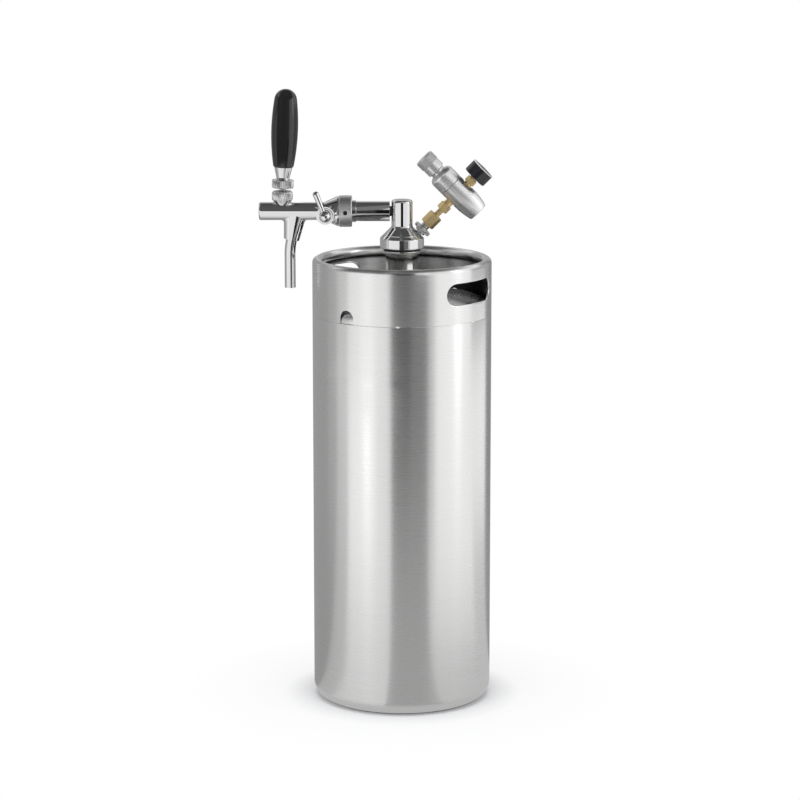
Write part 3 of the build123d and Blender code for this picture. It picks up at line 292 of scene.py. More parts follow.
def place_card(name, bm, level, fade=0.0, place=(0.0, 0.0, 0.0)):
    mesh = mesh_from(name, bm)
    mesh.materials.append(card_finish(name, level, fade))
    card = bpy.data.objects.new(name, mesh)
    card.location = place
    scene.collection.objects.link(card)
    card.visible_camera = False
    card.visible_diffuse = False
    card.visible_shadow = False
    card.visible_transmission = False
    cards.append(name)


def spun_line(start, end, middle, angle, steps):
    bm = bmesh.new()
    line = bm.edges.new((bm.verts.new(start), bm.verts.new(end)))
    bmesh.ops.spin(bm, geom=[*line.verts, line], axis=(0, 0, 1), cent=middle, steps=steps,
                   angle=radians(angle))
    return bm


def standing_card(name, reach, first, last, low, high, level, middle=(0.0, 0.0, 0.0)):
    turn = radians(first) - pi / 2
    foot = Vector(middle) + Vector((reach * cos(turn), reach * sin(turn), low))
    head = foot + Vector((0, 0, high - low))
    place_card(name, spun_line(foot, head, middle, last - first, standing_steps), level)


def lying_card(name, near, reach, first, last, height, level):
    turn = radians(first) - pi / 2
    out = Vector((cos(turn), sin(turn), 0))
    lift = Vector((0, 0, height))
    start, end = out * near + lift, out * reach + lift
    place_card(name, spun_line(start, end, (0, 0, 0), last - first, lying_steps), level)


def soft_card(name, place, reach, level):
    bm = bmesh.new()
    bmesh.ops.create_circle(bm, cap_ends=True, segments=disc_points, radius=reach)
    place_card(name, bm, level, reach, place)


print("card makers ready")

# %% [markdown]
# The front card gives the keg its dark middle band, with paler cards beside it, so that the band
# fades into the white. Grey cards behind the keg darken its two edges, and cards on the floor carry
# the bands down to the foot. Smaller cards near the head draw the stripes on the chrome.

# %% Place the cards
# Turns are in degrees from the front, to the right. Heights and distances are in metres.
# A standing card: name, distance, first turn, last turn, lower edge, upper edge, brightness. The
# grip's card also names the place that it stands round, which for the others is the keg's axis.
# A lying card: name, nearest and furthest distance, first turn, last turn, height, brightness.
# A soft card: name, place, radius, brightness.
wall_reach, head_reach, tap_reach, post_reach, grip_reach = 0.95, 0.42, 0.3, 0.17, 0.1
foot_reach, roof_near, roof_reach = 0.1, 0.04, 0.85
paper_lift, card_lift, roof_height = 0.001, 0.002, 0.64
grip_place = (-0.117, 0.0, 0.0)
standing_card("front_card", wall_reach, -13, 10, 0.2, 0.95, 0.045)
standing_card("front_card_pale", wall_reach, 10, 32, 0.2, 0.95, 0.15)
standing_card("front_card_low", wall_reach, -13, 32, 0.0, 0.2, 0.32)
standing_card("front_card_edge", wall_reach, 32, 41, 0.0, 0.95, 0.6)
standing_card("front_card_left", wall_reach, -32, -13, 0.0, 0.95, 0.86)
standing_card("left_card", wall_reach, -170, -105, 0.0, 1.0, 0.34)
standing_card("left_card_pale", wall_reach, -105, -88, 0.0, 1.0, 0.42)
standing_card("left_card_edge", wall_reach, -88, -70, 0.0, 1.0, 0.64)
standing_card("right_card", wall_reach, 131, 160, 0.0, 1.0, 0.26)
standing_card("right_card_edge", wall_reach, 160, 188, 0.0, 1.0, 0.42)
lying_card("floor_paper", 0.3, 0.65, -180, 180, paper_lift, 0.72)
lying_card("foot_paper", 0.06, 0.3, -180, 180, paper_lift, 0.54)
lying_card("left_foot_paper", foot_reach, 0.3, -62, -13, card_lift, 0.68)
lying_card("front_floor_card", foot_reach, wall_reach, -13, 32, card_lift, 0.4)
lying_card("left_floor_card", foot_reach, wall_reach, -170, -92, card_lift, 0.32)
lying_card("left_floor_edge", foot_reach, wall_reach, -92, -70, card_lift, 0.5)
lying_card("right_floor_pale", foot_reach, wall_reach, 100, 131, card_lift, 0.55)
lying_card("right_floor_card", foot_reach, wall_reach, 131, 188, card_lift, 0.3)
soft_card("ceiling_card", (0.0, 0.0, 1.45), 1.5, 0.08)
standing_card("collar_card", head_reach, -16, 12, 0.36, 0.397, 0.01)
standing_card("post_card", head_reach, 90, 136, 0.37, 0.6, 0.4)
standing_card("post_card_left", head_reach, -140, -102, 0.37, 0.6, 0.36)
standing_card("tap_white", tap_reach, -60, -14, 0.36, 0.52, 0.92)
soft_card("tap_floor_white", (-0.15, -0.2, 0.34), 0.17, 0.9)
lying_card("tap_roof", roof_near, roof_reach, -85, -24, roof_height, 0.09)
lying_card("shank_roof", roof_near, roof_reach, -24, -4, roof_height, 0.2)
standing_card("post_white", post_reach, 13, 54, 0.455, 0.5, 0.9)
standing_card("post_dark", post_reach, -9, 13, 0.455, 0.53, 0.004)
standing_card("grip_card", grip_reach, -66, 18, 0.508, 0.66, 0.1, grip_place)
print("cards", cards)

# %% [markdown]
# Every finish starts from one Principled shader. Fine grain comes from noise on Object
# coordinates, stretched by a Mapping node: squeezed hard along one axis, it turns into the long
# parallel scratches of brushing or turning. Mostly the grain varies the roughness, as polish does.

# %% Finish helpers
grain_low, grain_high = 0.3, 0.7
finishes, shaders = {}, {}


def new_finish(slot, name, colour, roughness, metallic=1.0):
    finish = bpy.data.materials.new(name)
    finish.use_nodes = True
    shader = finish.node_tree.nodes["Principled BSDF"]
    shader.inputs["Base Color"].default_value = (*colour, 1.0)
    shader.inputs["Roughness"].default_value = roughness
    shader.inputs["Metallic"].default_value = metallic
    finishes[slot], shaders[slot] = finish, shader
    return finish.node_tree, shader


def grain(tree, stretch, detail=2.0, turn=(0.0, 0.0, 0.0)):
    place = add_node(tree, "ShaderNodeTexCoord")
    turned = add_node(tree, "ShaderNodeMapping", vector_type="TEXTURE")
    turned.inputs["Rotation"].default_value = turn
    squeezed = add_node(tree, "ShaderNodeMapping")
    squeezed.inputs["Scale"].default_value = stretch
    noise = add_node(tree, "ShaderNodeTexNoise")
    noise.inputs["Scale"].default_value = 1.0
    noise.inputs["Detail"].default_value = detail
    link(tree, place.outputs["Object"], turned.inputs["Vector"])
    link(tree, turned.outputs["Vector"], squeezed.inputs["Vector"])
    link(tree, squeezed.outputs["Vector"], noise.inputs["Vector"])
    return noise.outputs["Fac"]


def bump(tree, shader, source, strength, depth):
    node = add_node(tree, "ShaderNodeBump")
    node.inputs["Strength"].default_value = strength
    node.inputs["Distance"].default_value = depth
    link(tree, source, node.inputs["Height"])
    link(tree, node.outputs["Normal"], shader.inputs["Normal"])


def vary(tree, source, socket, low, high):
    link(tree, ramp(tree, source, [(grain_low, low), (grain_high, high)]), socket)


print("finish helpers ready")

# %% [markdown]
# The keg is brushed all the way round, which draws its shine out into upright bands: an anisotropic
# shader does that, with a tangent that runs round the axis. Inside the carrying ring the sheet isn't
# brushed. A darker grey there stands partly for that duller sheet and partly for the shade inside the
# ring. A ramp over the ring's height adds painted shade at the ring's foot beside the weld and a
# painted shadow under the rolled rim. It acts only where the skin faces the axis and is as far out as
# the ring's wall.

# %% Brushed keg steel
facing_in, wall_inside = -0.02, 0.0872
ring_foot, ring_rise = 0.396, 0.056
# Inside the ring: a duller grey, painted shade at the foot beside the weld, and a painted shadow
# under the rolled rim.
inner_tone_and_shade_stops = [(0.44, 0.03), (0.58, 0.56), (0.75, 0.56), (0.79, 0.02)]
brush_tones = [(grain_low, (0.795, 0.795, 0.79)), (grain_high, (0.845, 0.845, 0.84))]
tree, shader = new_finish("keg_steel", "brushed_keg", (0.82, 0.82, 0.81), 0.28)
streaks = grain(tree, (14.0, 14.0, 4200.0), 3.0)
brushed = ramp(tree, streaks, brush_tones)
spot = add_node(tree, "ShaderNodeTexCoord")
flat = flat_part(tree, spot.outputs["Object"])
outward = vector_node(tree, "DOT_PRODUCT", flat, spot.outputs["Normal"])["Value"]
inside = math_node(tree, "LESS_THAN", outward, facing_in)
reach = vector_node(tree, "LENGTH", flat)["Value"]
on_wall = math_node(tree, "GREATER_THAN", reach, wall_inside)
height = add_node(tree, "ShaderNodeSeparateXYZ")
link(tree, spot.outputs["Object"], height.inputs["Vector"])
above_seam = math_node(tree, "SUBTRACT", height.outputs["Z"], ring_foot)
inner_tone_and_shade = ramp(tree, math_node(tree, "DIVIDE", above_seam, ring_rise), inner_tone_and_shade_stops)
skin = add_node(tree, "ShaderNodeMix", data_type="RGBA")
link(tree, math_node(tree, "MULTIPLY", inside, on_wall), skin.inputs["Factor"])
link(tree, brushed, skin.inputs["A"])
link(tree, inner_tone_and_shade, skin.inputs["B"])
link(tree, skin.outputs["Result"], shader.inputs["Base Color"])
vary(tree, streaks, shader.inputs["Roughness"], 0.26, 0.3)
shader.inputs["Anisotropic"].default_value = 0.8
shader.inputs["Anisotropic Rotation"].default_value = 0.25
around = add_node(tree, "ShaderNodeTangent", direction_type="RADIAL", axis="Z")
link(tree, around.outputs["Tangent"], shader.inputs["Tangent"])
print("brushed keg steel with", len(tree.nodes), "nodes")

# %% [markdown]
# Most other finishes differ only in colour, in being metal or not, and in how fine and how rough
# their grain is: the chrome of the tap, the turned steel inside, the coat of the grip, the paint of
# the dial. One table holds them and one loop makes them. The grip's coat is given a higher index
# of refraction, because lacquer shines more than bare plastic, and the lens lets light through.

# %% Plain finishes
# Slot: name, colour, metallic, grain, detail of the grain, lowest and highest roughness.
plain = {
    "neck_steel": ("turned_neck", (0.82, 0.82, 0.81), 1.0, (30.0, 30.0, 3500.0), 2.0, 0.07, 0.12),
    "turned_edge": ("turned_edge", (0.86, 0.86, 0.85), 1.0, even(300.0), 2.0, 0.18, 0.26),
    "chrome": ("polished_chrome", (0.8, 0.8, 0.81), 1.0, even(160.0), 4.0, 0.03, 0.08),
    "knurled_chrome": ("knurled_chrome", even(0.74), 1.0, even(500.0), 3.0, 0.26, 0.36),
    "inner_steel": ("turned_steel", (0.7, 0.7, 0.69), 1.0, even(900.0), 2.0, 0.16, 0.28),
    "weld_bead": ("weld_bead", (0.84, 0.84, 0.83), 0.4, even(900.0), 2.0, 0.5, 0.6),
    "white_plastic": ("white_plastic", (0.8, 0.8, 0.78), 0.0, even(300.0), 2.0, 0.34, 0.46),
    "grip_plastic": ("black_grip", (0.012, 0.012, 0.013), 0.0, (220.0, 220.0, 60.0), 4.0, 0.1, 0.16),
    "gauge_black": ("gauge_enamel", (0.016, 0.016, 0.019), 0.0, even(700.0), 2.0, 0.08, 0.16),
    "dial_white": ("dial_paint", (0.86, 0.86, 0.84), 0.0, even(500.0), 2.0, 0.45, 0.55),
    "needle_black": ("needle_paint", even(0.02), 0.0, even(500.0), 2.0, 0.35, 0.45),
    "gauge_glass": ("clear_lens", (0.95, 0.97, 0.98), 0.0, even(300.0), 2.0, 0.01, 0.05),
}
for slot, (name, colour, metallic, stretch, detail, low, high) in plain.items():
    tree, shader = new_finish(slot, name, colour, (low + high) / 2, metallic)
    vary(tree, grain(tree, stretch, detail), shader.inputs["Roughness"], low, high)
shaders["grip_plastic"].inputs["IOR"].default_value = 1.62
shaders["gauge_glass"].inputs["IOR"].default_value = 1.49
shaders["gauge_glass"].inputs["Transmission Weight"].default_value = 1.0
print("plain finishes", sorted(plain))

# %% [markdown]
# The rest need a little more. Blasted steel and rubber are pitted, so the noise also lifts their
# surface. Brass, the satin regulator and the knob's dull band change their tone with the grain. The
# gauge's black case ends in a light band, found by its place along the axis. It stands in for the
# lens's clear rim, and its light grey is a painted highlight of that rim.

# %% Finishes with more to them
tree, shader = new_finish("matte_steel", "blasted_steel", even(0.8), 0.42)
speckle = grain(tree, even(2200.0))
vary(tree, speckle, shader.inputs["Base Color"], 0.74, 0.86)
bump(tree, shader, speckle, strength=0.25, depth=0.08 * mm)

# Painted shadow: the dark finish for the floor of the spanner holes.
tree, shader = new_finish("hole_shadow", "hole_shadow", even(0.05), 0.6)
vary(tree, grain(tree, even(2200.0)), shader.inputs["Base Color"], 0.03, 0.08)

tree, shader = new_finish("black_rubber", "black_rubber", even(0.018), 0.55, 0.0)
bump(tree, shader, grain(tree, even(1500.0)), strength=0.1, depth=0.05 * mm)

tree, shader = new_finish("brass", "turned_brass", (0.8, 0.62, 0.32), 0.4)
patina = grain(tree, even(400.0), 3.0)
vary(tree, patina, shader.inputs["Base Color"], (0.76, 0.58, 0.29), (0.85, 0.67, 0.36))
vary(tree, patina, shader.inputs["Roughness"], 0.36, 0.44)

tree, shader = new_finish("satin_aluminium", "satin_regulator", even(0.88), 0.37)
rings = grain(tree, (60.0, 60.0, 2400.0), turn=(0.0, radians(135), 0.0))
vary(tree, rings, shader.inputs["Base Color"], 0.87, 0.89)
vary(tree, rings, shader.inputs["Roughness"], 0.36, 0.38)

tree, shader = new_finish("knurled_satin", "knurled_satin", even(0.64), 0.6)
vary(tree, grain(tree, even(900.0)), shader.inputs["Base Color"], 0.6, 0.68)

# Painted highlight: a light grey band at the case's end stands in for the lens's clear rim.
lens_rim_level = 33.8
lens_rim_start = (Vector(regulator_centre).dot(Vector(gas_along)) + lens_rim_level) * mm
enamel_and_rim_highlight_tones = [(0.0, (0.016, 0.016, 0.019)), (1.0, (0.6, 0.61, 0.62))]
tree, shader = finishes["gauge_black"].node_tree, shaders["gauge_black"]
spot = add_node(tree, "ShaderNodeTexCoord")
along_gauge = vector_node(tree, "DOT_PRODUCT", spot.outputs["Object"], gas_along)["Value"]
on_lens_rim = math_node(tree, "GREATER_THAN", along_gauge, lens_rim_start)
link(tree, ramp(tree, on_lens_rim, enamel_and_rim_highlight_tones), shader.inputs["Base Color"])
print("finishes", len(finishes))

# %% [markdown]
# Turned rings are lathe work: half an outline, spun once round an axis. A knurl is rolled in
# afterwards, and here too: every second point of a band is pressed a little towards the axis, in
# straight rows for a plain knurl and in a chequer for a diamond one.

# %% Lathe and knurl
node_slot = {part["node"]: part["material_slot"] for part in frame["record"]["subparts"]}
body_groups = frame["record"]["behaviour"]["bodies"]
node_body = {node: body for body, group in body_groups.items() for node in group}
crease_angle = 32


def lathe(outline, columns):
    bm = bmesh.new()
    points = [bm.verts.new((radius * mm, 0, height * mm)) for radius, height in outline]
    sides = [bm.edges.new(pair) for pair in zip(points, points[1:] + points[:1])]
    bmesh.ops.spin(bm, geom=points + sides, axis=(0, 0, 1), cent=(0, 0, 0), steps=columns,
                   angle=2 * pi, use_merge=True)
    bmesh.ops.remove_doubles(bm, verts=bm.verts, dist=merge_reach)
    bmesh.ops.recalc_face_normals(bm, faces=bm.faces)
    return bm


def knurl(bm, columns, radius, low, high, depth, rows=1):
    step = (high - low) / rows
    for vert in bm.verts:
        height = vert.co.z / mm
        reach = hypot(vert.co.x, vert.co.y) / mm
        if reach > radius - depth / 2 and low - step / 4 < height < high + step / 4:
            column = round(atan2(vert.co.y, vert.co.x) / (2 * pi) * columns)
            row = round((height - low) / step) if rows > 1 else 0
            if (column + row) % 2:
                vert.co.x *= 1 - depth / reach
                vert.co.y *= 1 - depth / reach


def band(radius, low, high, rows):
    return [(radius, low + (high - low) * row / rows) for row in range(rows + 1)]


def rounded(centre_radius, centre_height, bend, first, last, steps=5):
    angles = [radians(first + (last - first) * step / steps) for step in range(steps + 1)]
    return [(centre_radius + bend * cos(a), centre_height + bend * sin(a)) for a in angles]


def axis_place(start, along):
    turn = Vector(along).to_track_quat("Z", "Y").to_matrix().to_4x4()
    return Matrix.Translation(Vector(start) * mm) @ turn


def set_on(bm, start, along):
    bmesh.ops.transform(bm, matrix=axis_place(start, along), verts=bm.verts)


print("lathe ready for", len(node_body), "nodes")

# %% [markdown]
# A finished mesh becomes a piece of the model: it takes its finish, by default the one of the
# record's material slot, its smooth shading breaks only at real edges, and it rides on one body of
# the mechanism. A fine copy of a solid is named after the node that it stands for, and that node is
# hidden.

# %% Place the pieces
def smooth(mesh, crease=crease_angle):
    mesh.shade_smooth()
    mesh.set_sharp_from_angle(angle=radians(crease))


def new_piece(name, mesh, finish):
    mesh.materials.append(finishes[finish])
    piece = bpy.data.objects.new(name, mesh)
    scene.collection.objects.link(piece)
    return piece


def place_piece(name, bm, body, slot, crease=crease_angle, finish=None):
    mesh = mesh_from(name, bm)
    smooth(mesh, crease)
    piece = new_piece(name, mesh, finish or slot)
    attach(piece, body)
    return piece


def standing_for(node, bm, crease=crease_angle, finish=None):
    piece = place_piece(node + "_fine", bm, node_body[node], node_slot[node], crease, finish)
    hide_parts(node)
    return piece


def mesh_of_curve(name, curve):
    holder = bpy.data.objects.new(name, curve)
    mesh = bpy.data.meshes.new_from_object(holder)
    bpy.data.objects.remove(holder)
    return mesh


print("ready to place pieces")

# %% [markdown]
# The keg's shell is a rolled tube welded to a pressed base and a pressed shoulder, then brushed all
# over, so that no joint shows. One outline spun round the axis gives that unbroken skin. At the top
# of the tube a tiny rounded step leaves the fine line on which the carrying ring sits.

# %% Keg shell
shell_columns = 180
dish_steps, corner_steps, edge_steps = 12, 10, 3
keg_radius, sheet, seam_height, seam_edge, inner_drop = 90.0, 1.2, 396.0, 0.6, 4.0
foot_outer, foot_inner, base_corner, dish_rise = 76.0, 69.0, 14.0, 12.0
shoulder_corner, shoulder_sweep, shoulder_inset = 16.0, 84.0, 1.25
neck_radius = 16.55
dish_bend = (foot_inner**2 + dish_rise**2) / (2 * dish_rise)
dish_half = degrees(asin(foot_inner / dish_bend))
shoulder_middle = keg_radius - shoulder_inset - shoulder_corner
shoulder_rise = tan(radians(90 - shoulder_sweep))


def shell_side(inset):
    bend = shoulder_corner - inset
    top = rounded(shoulder_middle, seam_height, bend, 0, shoulder_sweep, corner_steps)
    weld = (neck_radius, top[-1][1] + (top[-1][0] - neck_radius) * shoulder_rise)
    wall_top = seam_height - (inner_drop if inset else seam_edge)
    step = rounded(keg_radius - seam_edge, wall_top, seam_edge, 0, 90, edge_steps)[1:]
    return [
        *rounded(0, dish_rise - dish_bend + inset, dish_bend, 90, 90 - dish_half, dish_steps),
        *rounded(foot_outer, base_corner, base_corner - inset, -90, 0, corner_steps),
        (keg_radius - inset, wall_top),
        *([] if inset else step),
        *top,
        weld,
    ]


bm = lathe(shell_side(0) + shell_side(sheet)[::-1], shell_columns)
set_on(bm, (0, 0, 0), (0, 0, 1))
piece = place_piece("keg_shell", bm, "keg", "keg_steel")
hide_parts("keg_wall", "keg_bottom", "keg_shoulder")
print("keg shell, dish bend", round(dish_bend, 1))

# %% [markdown]
# The hand slots are punched through the ring, and their edges are turned over so that they don't
# cut the fingers. The turned edge is a round bead that follows the slot's outline on the curved
# wall. A curve with a round bevel gives such a bead, and it is made a mesh like every other piece.

# %% Slot lips
slot_turn, slot_level = radians(-37.5), 425.0
slot_end, slot_run, run_steps = 11.75, 23.75, 14
lip_wire, lip_reach = 1.05, 88.9
lip_outline = [
    *rounded(slot_run, 0, slot_end, -90, 90, run_steps),
    *((slot_run * (1 - 2 * step / run_steps), slot_end) for step in range(1, run_steps)),
    *rounded(-slot_run, 0, slot_end, 90, 270, run_steps),
    *((slot_run * (2 * step / run_steps - 1), -slot_end) for step in range(1, run_steps)),
]
for name, turn in (("slot_lip_front", slot_turn), ("slot_lip_back", slot_turn + pi)):
    wire = bpy.data.curves.new(name, "CURVE")
    wire.dimensions = "3D"
    wire.bevel_depth = lip_wire * mm
    wire.bevel_resolution = 3
    line = wire.splines.new("POLY")
    line.points.add(len(lip_outline) - 1)
    line.use_cyclic_u = True
    for point, (along, up) in zip(line.points, lip_outline):
        out = (lip_reach**2 - along**2) ** 0.5
        spot = Matrix.Rotation(turn, 3, "Z") @ Vector((out, along, slot_level + up)) * mm
        point.co = (*spot, 1.0)
    mesh = mesh_of_curve(name, wire)
    mesh.shade_smooth()
    piece = new_piece(name, mesh, "turned_edge")
    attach(piece, "keg")
print("slot lips along", len(lip_outline), "points")

# %% [markdown]
# The ring is held to the shell by a fine weld, and a few tacks of it stay visible on the seam. Each
# is a small ball pressed flat, half sunk in the groove, so that only its cap stands out.

# %% Weld tacks
tack_turns = (-91.0, -2.6, 51.6, 140.0, 215.0)
tack_depth, tack_width, tack_height, tack_reach = 0.5, 3.2, 2.1, 89.55
bm = bmesh.new()
for turn in tack_turns:
    tack = bmesh.ops.create_icosphere(bm, subdivisions=3, radius=mm)["verts"]
    bmesh.ops.scale(bm, vec=(tack_width, tack_depth, tack_height), verts=tack)
    bmesh.ops.translate(bm, vec=(0, -tack_reach * mm, seam_height * mm), verts=tack)
    round_keg = Matrix.Rotation(radians(turn), 3, "Z")
    bmesh.ops.rotate(bm, cent=(0, 0, 0), matrix=round_keg, verts=tack)
place_piece("weld_tacks", bm, "keg", "keg_steel", finish="weld_bead")
print("weld tacks", len(tack_turns))

# %% [markdown]
# The two nuts under the handle are gripped by hand, so their rims carry a straight knurl. The lower
# one is crowned and caps the ball of the lever, the upper one locks the handle on its stem.

# %% Knurled tap nuts
nut_columns = 84
knurl_depth = 0.5
lock_radius, lock_low, lock_high, lock_edge, stem_bore = 10.85, 8.7, 17.3, 1.4, 3.1
bm = lathe([
    (stem_bore, lock_low),
    *rounded(lock_radius - lock_edge, lock_low + lock_edge, lock_edge, -90, 0),
    *rounded(lock_radius - lock_edge, lock_high - lock_edge, lock_edge, 0, 90),
    (stem_bore, lock_high),
], nut_columns)
knurl(bm, nut_columns, lock_radius, lock_low + lock_edge, lock_high - lock_edge, knurl_depth)
set_on(bm, ball_centre, lever_along)
standing_for("lock_nut", bm, finish="knurled_chrome")

bonnet_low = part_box("bonnet_nut")[0][2] / mm - ball_centre[2]
bonnet_radius, bonnet_top, bonnet_bend, bonnet_bore = 10.5, 6.1, 3.0, 8.3
bonnet_flare, bonnet_mouth, bonnet_roof = 6.2, 4.9, 3.0
bonnet_rim = bonnet_low + knurl_depth
bm = lathe([
    (bonnet_bore, bonnet_low),
    (bonnet_radius - knurl_depth, bonnet_low),
    (bonnet_radius, bonnet_rim),
    *rounded(bonnet_radius - bonnet_bend, bonnet_top - bonnet_bend, bonnet_bend, 0, 90),
    (bonnet_flare, bonnet_top),
    (bonnet_mouth, bonnet_roof),
    (bonnet_bore, bonnet_roof),
], nut_columns)
knurl(bm, nut_columns, bonnet_radius, bonnet_rim, bonnet_top - bonnet_bend, knurl_depth)
set_on(bm, ball_centre, (0, 0, 1))
standing_for("bonnet_nut", bm, finish="knurled_chrome")
print("tap nuts knurled, lower edge at", round(bonnet_low, 2))

# %% [markdown]
# The grip is a turned handle with a shiny black coat: a slim barrel that ends in a ball-shaped
# crown. Its side is one shallow arc through three measured points, and the crown is the part of a
# circle that meets this arc without a kink, so a highlight runs over both unbroken.

# %% Grip with a round crown
grip_columns, barrel_steps, crown_steps = 64, 24, 14
ferrule_height, grip_length = 12.4, 78.0
grip_low = lock_high + ferrule_height
grip_top = grip_low + grip_length
grip_foot, foot_round, grip_belly, belly_height = 10.35, 1.6, 13.35, 35.1
grip_neck, neck_drop, crown_round, crown_start = 11.2, 9.72, 11.31, 8.1
socket_radius, socket_depth = 5.05, 9.3


def arc_through(first, middle, last, steps):
    (ax, ay), (bx, by), (cx, cy) = first, middle, last
    squares = [x * x + y * y for x, y in (first, middle, last)]
    twice = 2 * (ax * (by - cy) + bx * (cy - ay) + cx * (ay - by))
    out = (squares[0] * (by - cy) + squares[1] * (cy - ay) + squares[2] * (ay - by)) / twice
    up = (squares[0] * (cx - bx) + squares[1] * (ax - cx) + squares[2] * (bx - ax)) / twice
    start, end = (degrees(atan2(y - up, x - out)) for x, y in (first, last))
    return rounded(out, up, hypot(ax - out, ay - up), start, end, steps)


barrel = arc_through((grip_foot, grip_low + foot_round), (grip_belly, grip_low + belly_height),
                     (grip_neck, grip_top - neck_drop), barrel_steps)
bm = lathe([
    (socket_radius, grip_low),
    *rounded(grip_foot - foot_round, grip_low + foot_round, foot_round, -90, 0),
    *barrel[1:],
    *rounded(0, grip_top - crown_round, crown_round, crown_start, 90, crown_steps)[1:],
    (0, grip_low + socket_depth),
    (socket_radius, grip_low + socket_depth),
], grip_columns)
set_on(bm, ball_centre, lever_along)
standing_for("grip", bm)
print("grip turned, top at", round(grip_top, 1))

# %% [markdown]
# The regulator's knob has a diamond knurl on its outer half: two crossing sets of grooves leave
# small pyramids. A chequer of pressed points gives the same play of light with few faces. The
# knurled band scatters the light, so it takes a duller finish than the plain half of the knob.

# %% Knurled knob
knob_columns, knob_rows = 84, 12
knob_radius, knob_plain, knob_start, knob_end = 9.9, 9.45, -50.0, -31.4
edge_in, edge_rise, band_floor = 1.2, 0.9, 0.5
step_in, step_low, step_high, lip_bend = 0.3, 0.3, 0.7, 0.5
knob_skirt, skirt_depth, screw_bore, knob_cap = 8.4, 4.5, 4.05, 6.0
diamond_depth, knob_crease = 0.2, 14
band_start, band_end = knob_start + edge_rise, -40.6
bm = lathe([
    (0, knob_start),
    (knob_radius - edge_in, knob_start),
    *band(knob_radius, band_start, band_end, knob_rows),
    (knob_plain - step_in, band_end + step_low),
    (knob_plain, band_end + step_high),
    *rounded(knob_plain - lip_bend, knob_end - lip_bend, lip_bend, 0, 90, edge_steps),
    (knob_skirt, knob_end),
    (knob_skirt, knob_end - skirt_depth),
    (screw_bore, knob_end - skirt_depth),
    (screw_bore, knob_start + knob_cap),
    (0, knob_start + knob_cap),
], knob_columns)
knurl(bm, knob_columns, knob_radius, band_start, band_end, diamond_depth, knob_rows)
for face in bm.faces:
    middle = face.calc_center_median() / mm
    in_band = knob_start + band_floor < middle.z < band_end
    if in_band and hypot(middle.x, middle.y) > knob_plain:
        face.material_index = 1
set_on(bm, regulator_centre, regulator_along)
piece = standing_for("knob", bm, knob_crease)
piece.data.materials.append(finishes["knurled_satin"])
print("knob knurled with", knob_columns * knob_rows // 2, "points")

# %% [markdown]
# The gas inlet is screwed into the head by its knurled ring. Beyond the ring its stub is threaded
# for the brass nut. The thread is one small vee, spun round and moved along at the same time, and
# closed at both ends.

# %% Gas inlet with its thread
ring_columns, ring_knurl = 72, 0.6
ring_radius, ring_start, ring_end, ring_bend = 9.2, 3.1, 7.1, 1.2
stub_radius, stub_end, inlet_bore = 4.1, 17.0, 1.6
inlet_root, root_end, inlet_foot, foot_end, inlet_seat = 2.6, -3.4, 3.2, 1.2, 5.6
bm = lathe([
    (inlet_bore, root_end),
    (inlet_root, root_end),
    (inlet_root, 0),
    (inlet_foot, 0),
    (inlet_foot, foot_end),
    (inlet_seat, foot_end),
    (inlet_seat, ring_start),
    *rounded(ring_radius - ring_bend, ring_start + ring_bend, ring_bend, -90, 0, edge_steps),
    *rounded(ring_radius - ring_bend, ring_end - ring_bend, ring_bend, 0, 90, edge_steps),
    (stub_radius, ring_end),
    (stub_radius, stub_end),
    (inlet_bore, stub_end),
], ring_columns)
knurl(bm, ring_columns, ring_radius, ring_start + ring_bend, ring_end - ring_bend, ring_knurl)
set_on(bm, gas_start, gas_along)
standing_for("gas_inlet", bm, finish="knurled_chrome")

thread_pitch, thread_turns, thread_columns, thread_lead = 1.1, 8, 40, 0.5
crest_radius, vee_sink, vee_half = 4.5, 0.1, 0.45
vee_root, thread_start = stub_radius - vee_sink, ring_end + thread_lead
vee = [(vee_root, -vee_half), (crest_radius, 0.0), (vee_root, vee_half)]
bm = bmesh.new()
points = [bm.verts.new((radius * mm, 0, (thread_start + up) * mm)) for radius, up in vee]
sides = [bm.edges.new(pair) for pair in zip(points, points[1:] + points[:1])]
bmesh.ops.spin(bm, geom=points + sides, axis=(0, 0, 1), cent=(0, 0, 0),
               steps=thread_columns * thread_turns, angle=2 * pi * thread_turns,
               dvec=(0, 0, thread_pitch * mm / thread_columns))
bmesh.ops.holes_fill(bm, edges=bm.edges)
bmesh.ops.recalc_face_normals(bm, faces=bm.faces)
set_on(bm, gas_start, gas_along)
place_piece("inlet_thread", bm, "head", "chrome")
print("inlet thread of", thread_turns, "turns")

# %% [markdown]
# The gauge's dial is a printed disc: a ring of fine marks, longer at every fifth one, and plain
# numerals. Each mark is a flat grid scaled to a stroke, turned to its place and set on the dial.

# %% Dial marks
dial_level = 31.25
sweep_start, sweep = 135.0, 270.0
mark_count, bold_every, mark_reach = 30, 5, 9.3
bold_stroke, fine_stroke = (0.35, 1.7), (0.2, 1.0)
dial_centre = Vector(regulator_centre) + Vector(gas_along) * dial_level
dial_place = axis_place(dial_centre, gas_along)
bm = bmesh.new()
for mark in range(mark_count + 1):
    width, length = fine_stroke if mark % bold_every else bold_stroke
    stroke = bmesh.ops.create_grid(bm, x_segments=1, y_segments=1, size=0.5)["verts"]
    bmesh.ops.scale(bm, vec=(width * mm, length * mm, 1), verts=stroke)
    bmesh.ops.translate(bm, vec=(0, mark_reach * mm, 0), verts=stroke)
    turn = Matrix.Rotation(radians(sweep_start - sweep * mark / mark_count), 3, "Z")
    bmesh.ops.rotate(bm, cent=(0, 0, 0), matrix=turn, verts=stroke)
bmesh.ops.transform(bm, matrix=dial_place, verts=bm.verts)
place_piece("dial_marks", bm, "head", "needle_black")
print("dial marks", mark_count + 1)

# %% [markdown]
# The numerals stand upright inside the ring of marks, from 0 to 60 in steps of ten. Text is a curve
# in Blender, so each numeral is made a mesh before it is set on the dial.

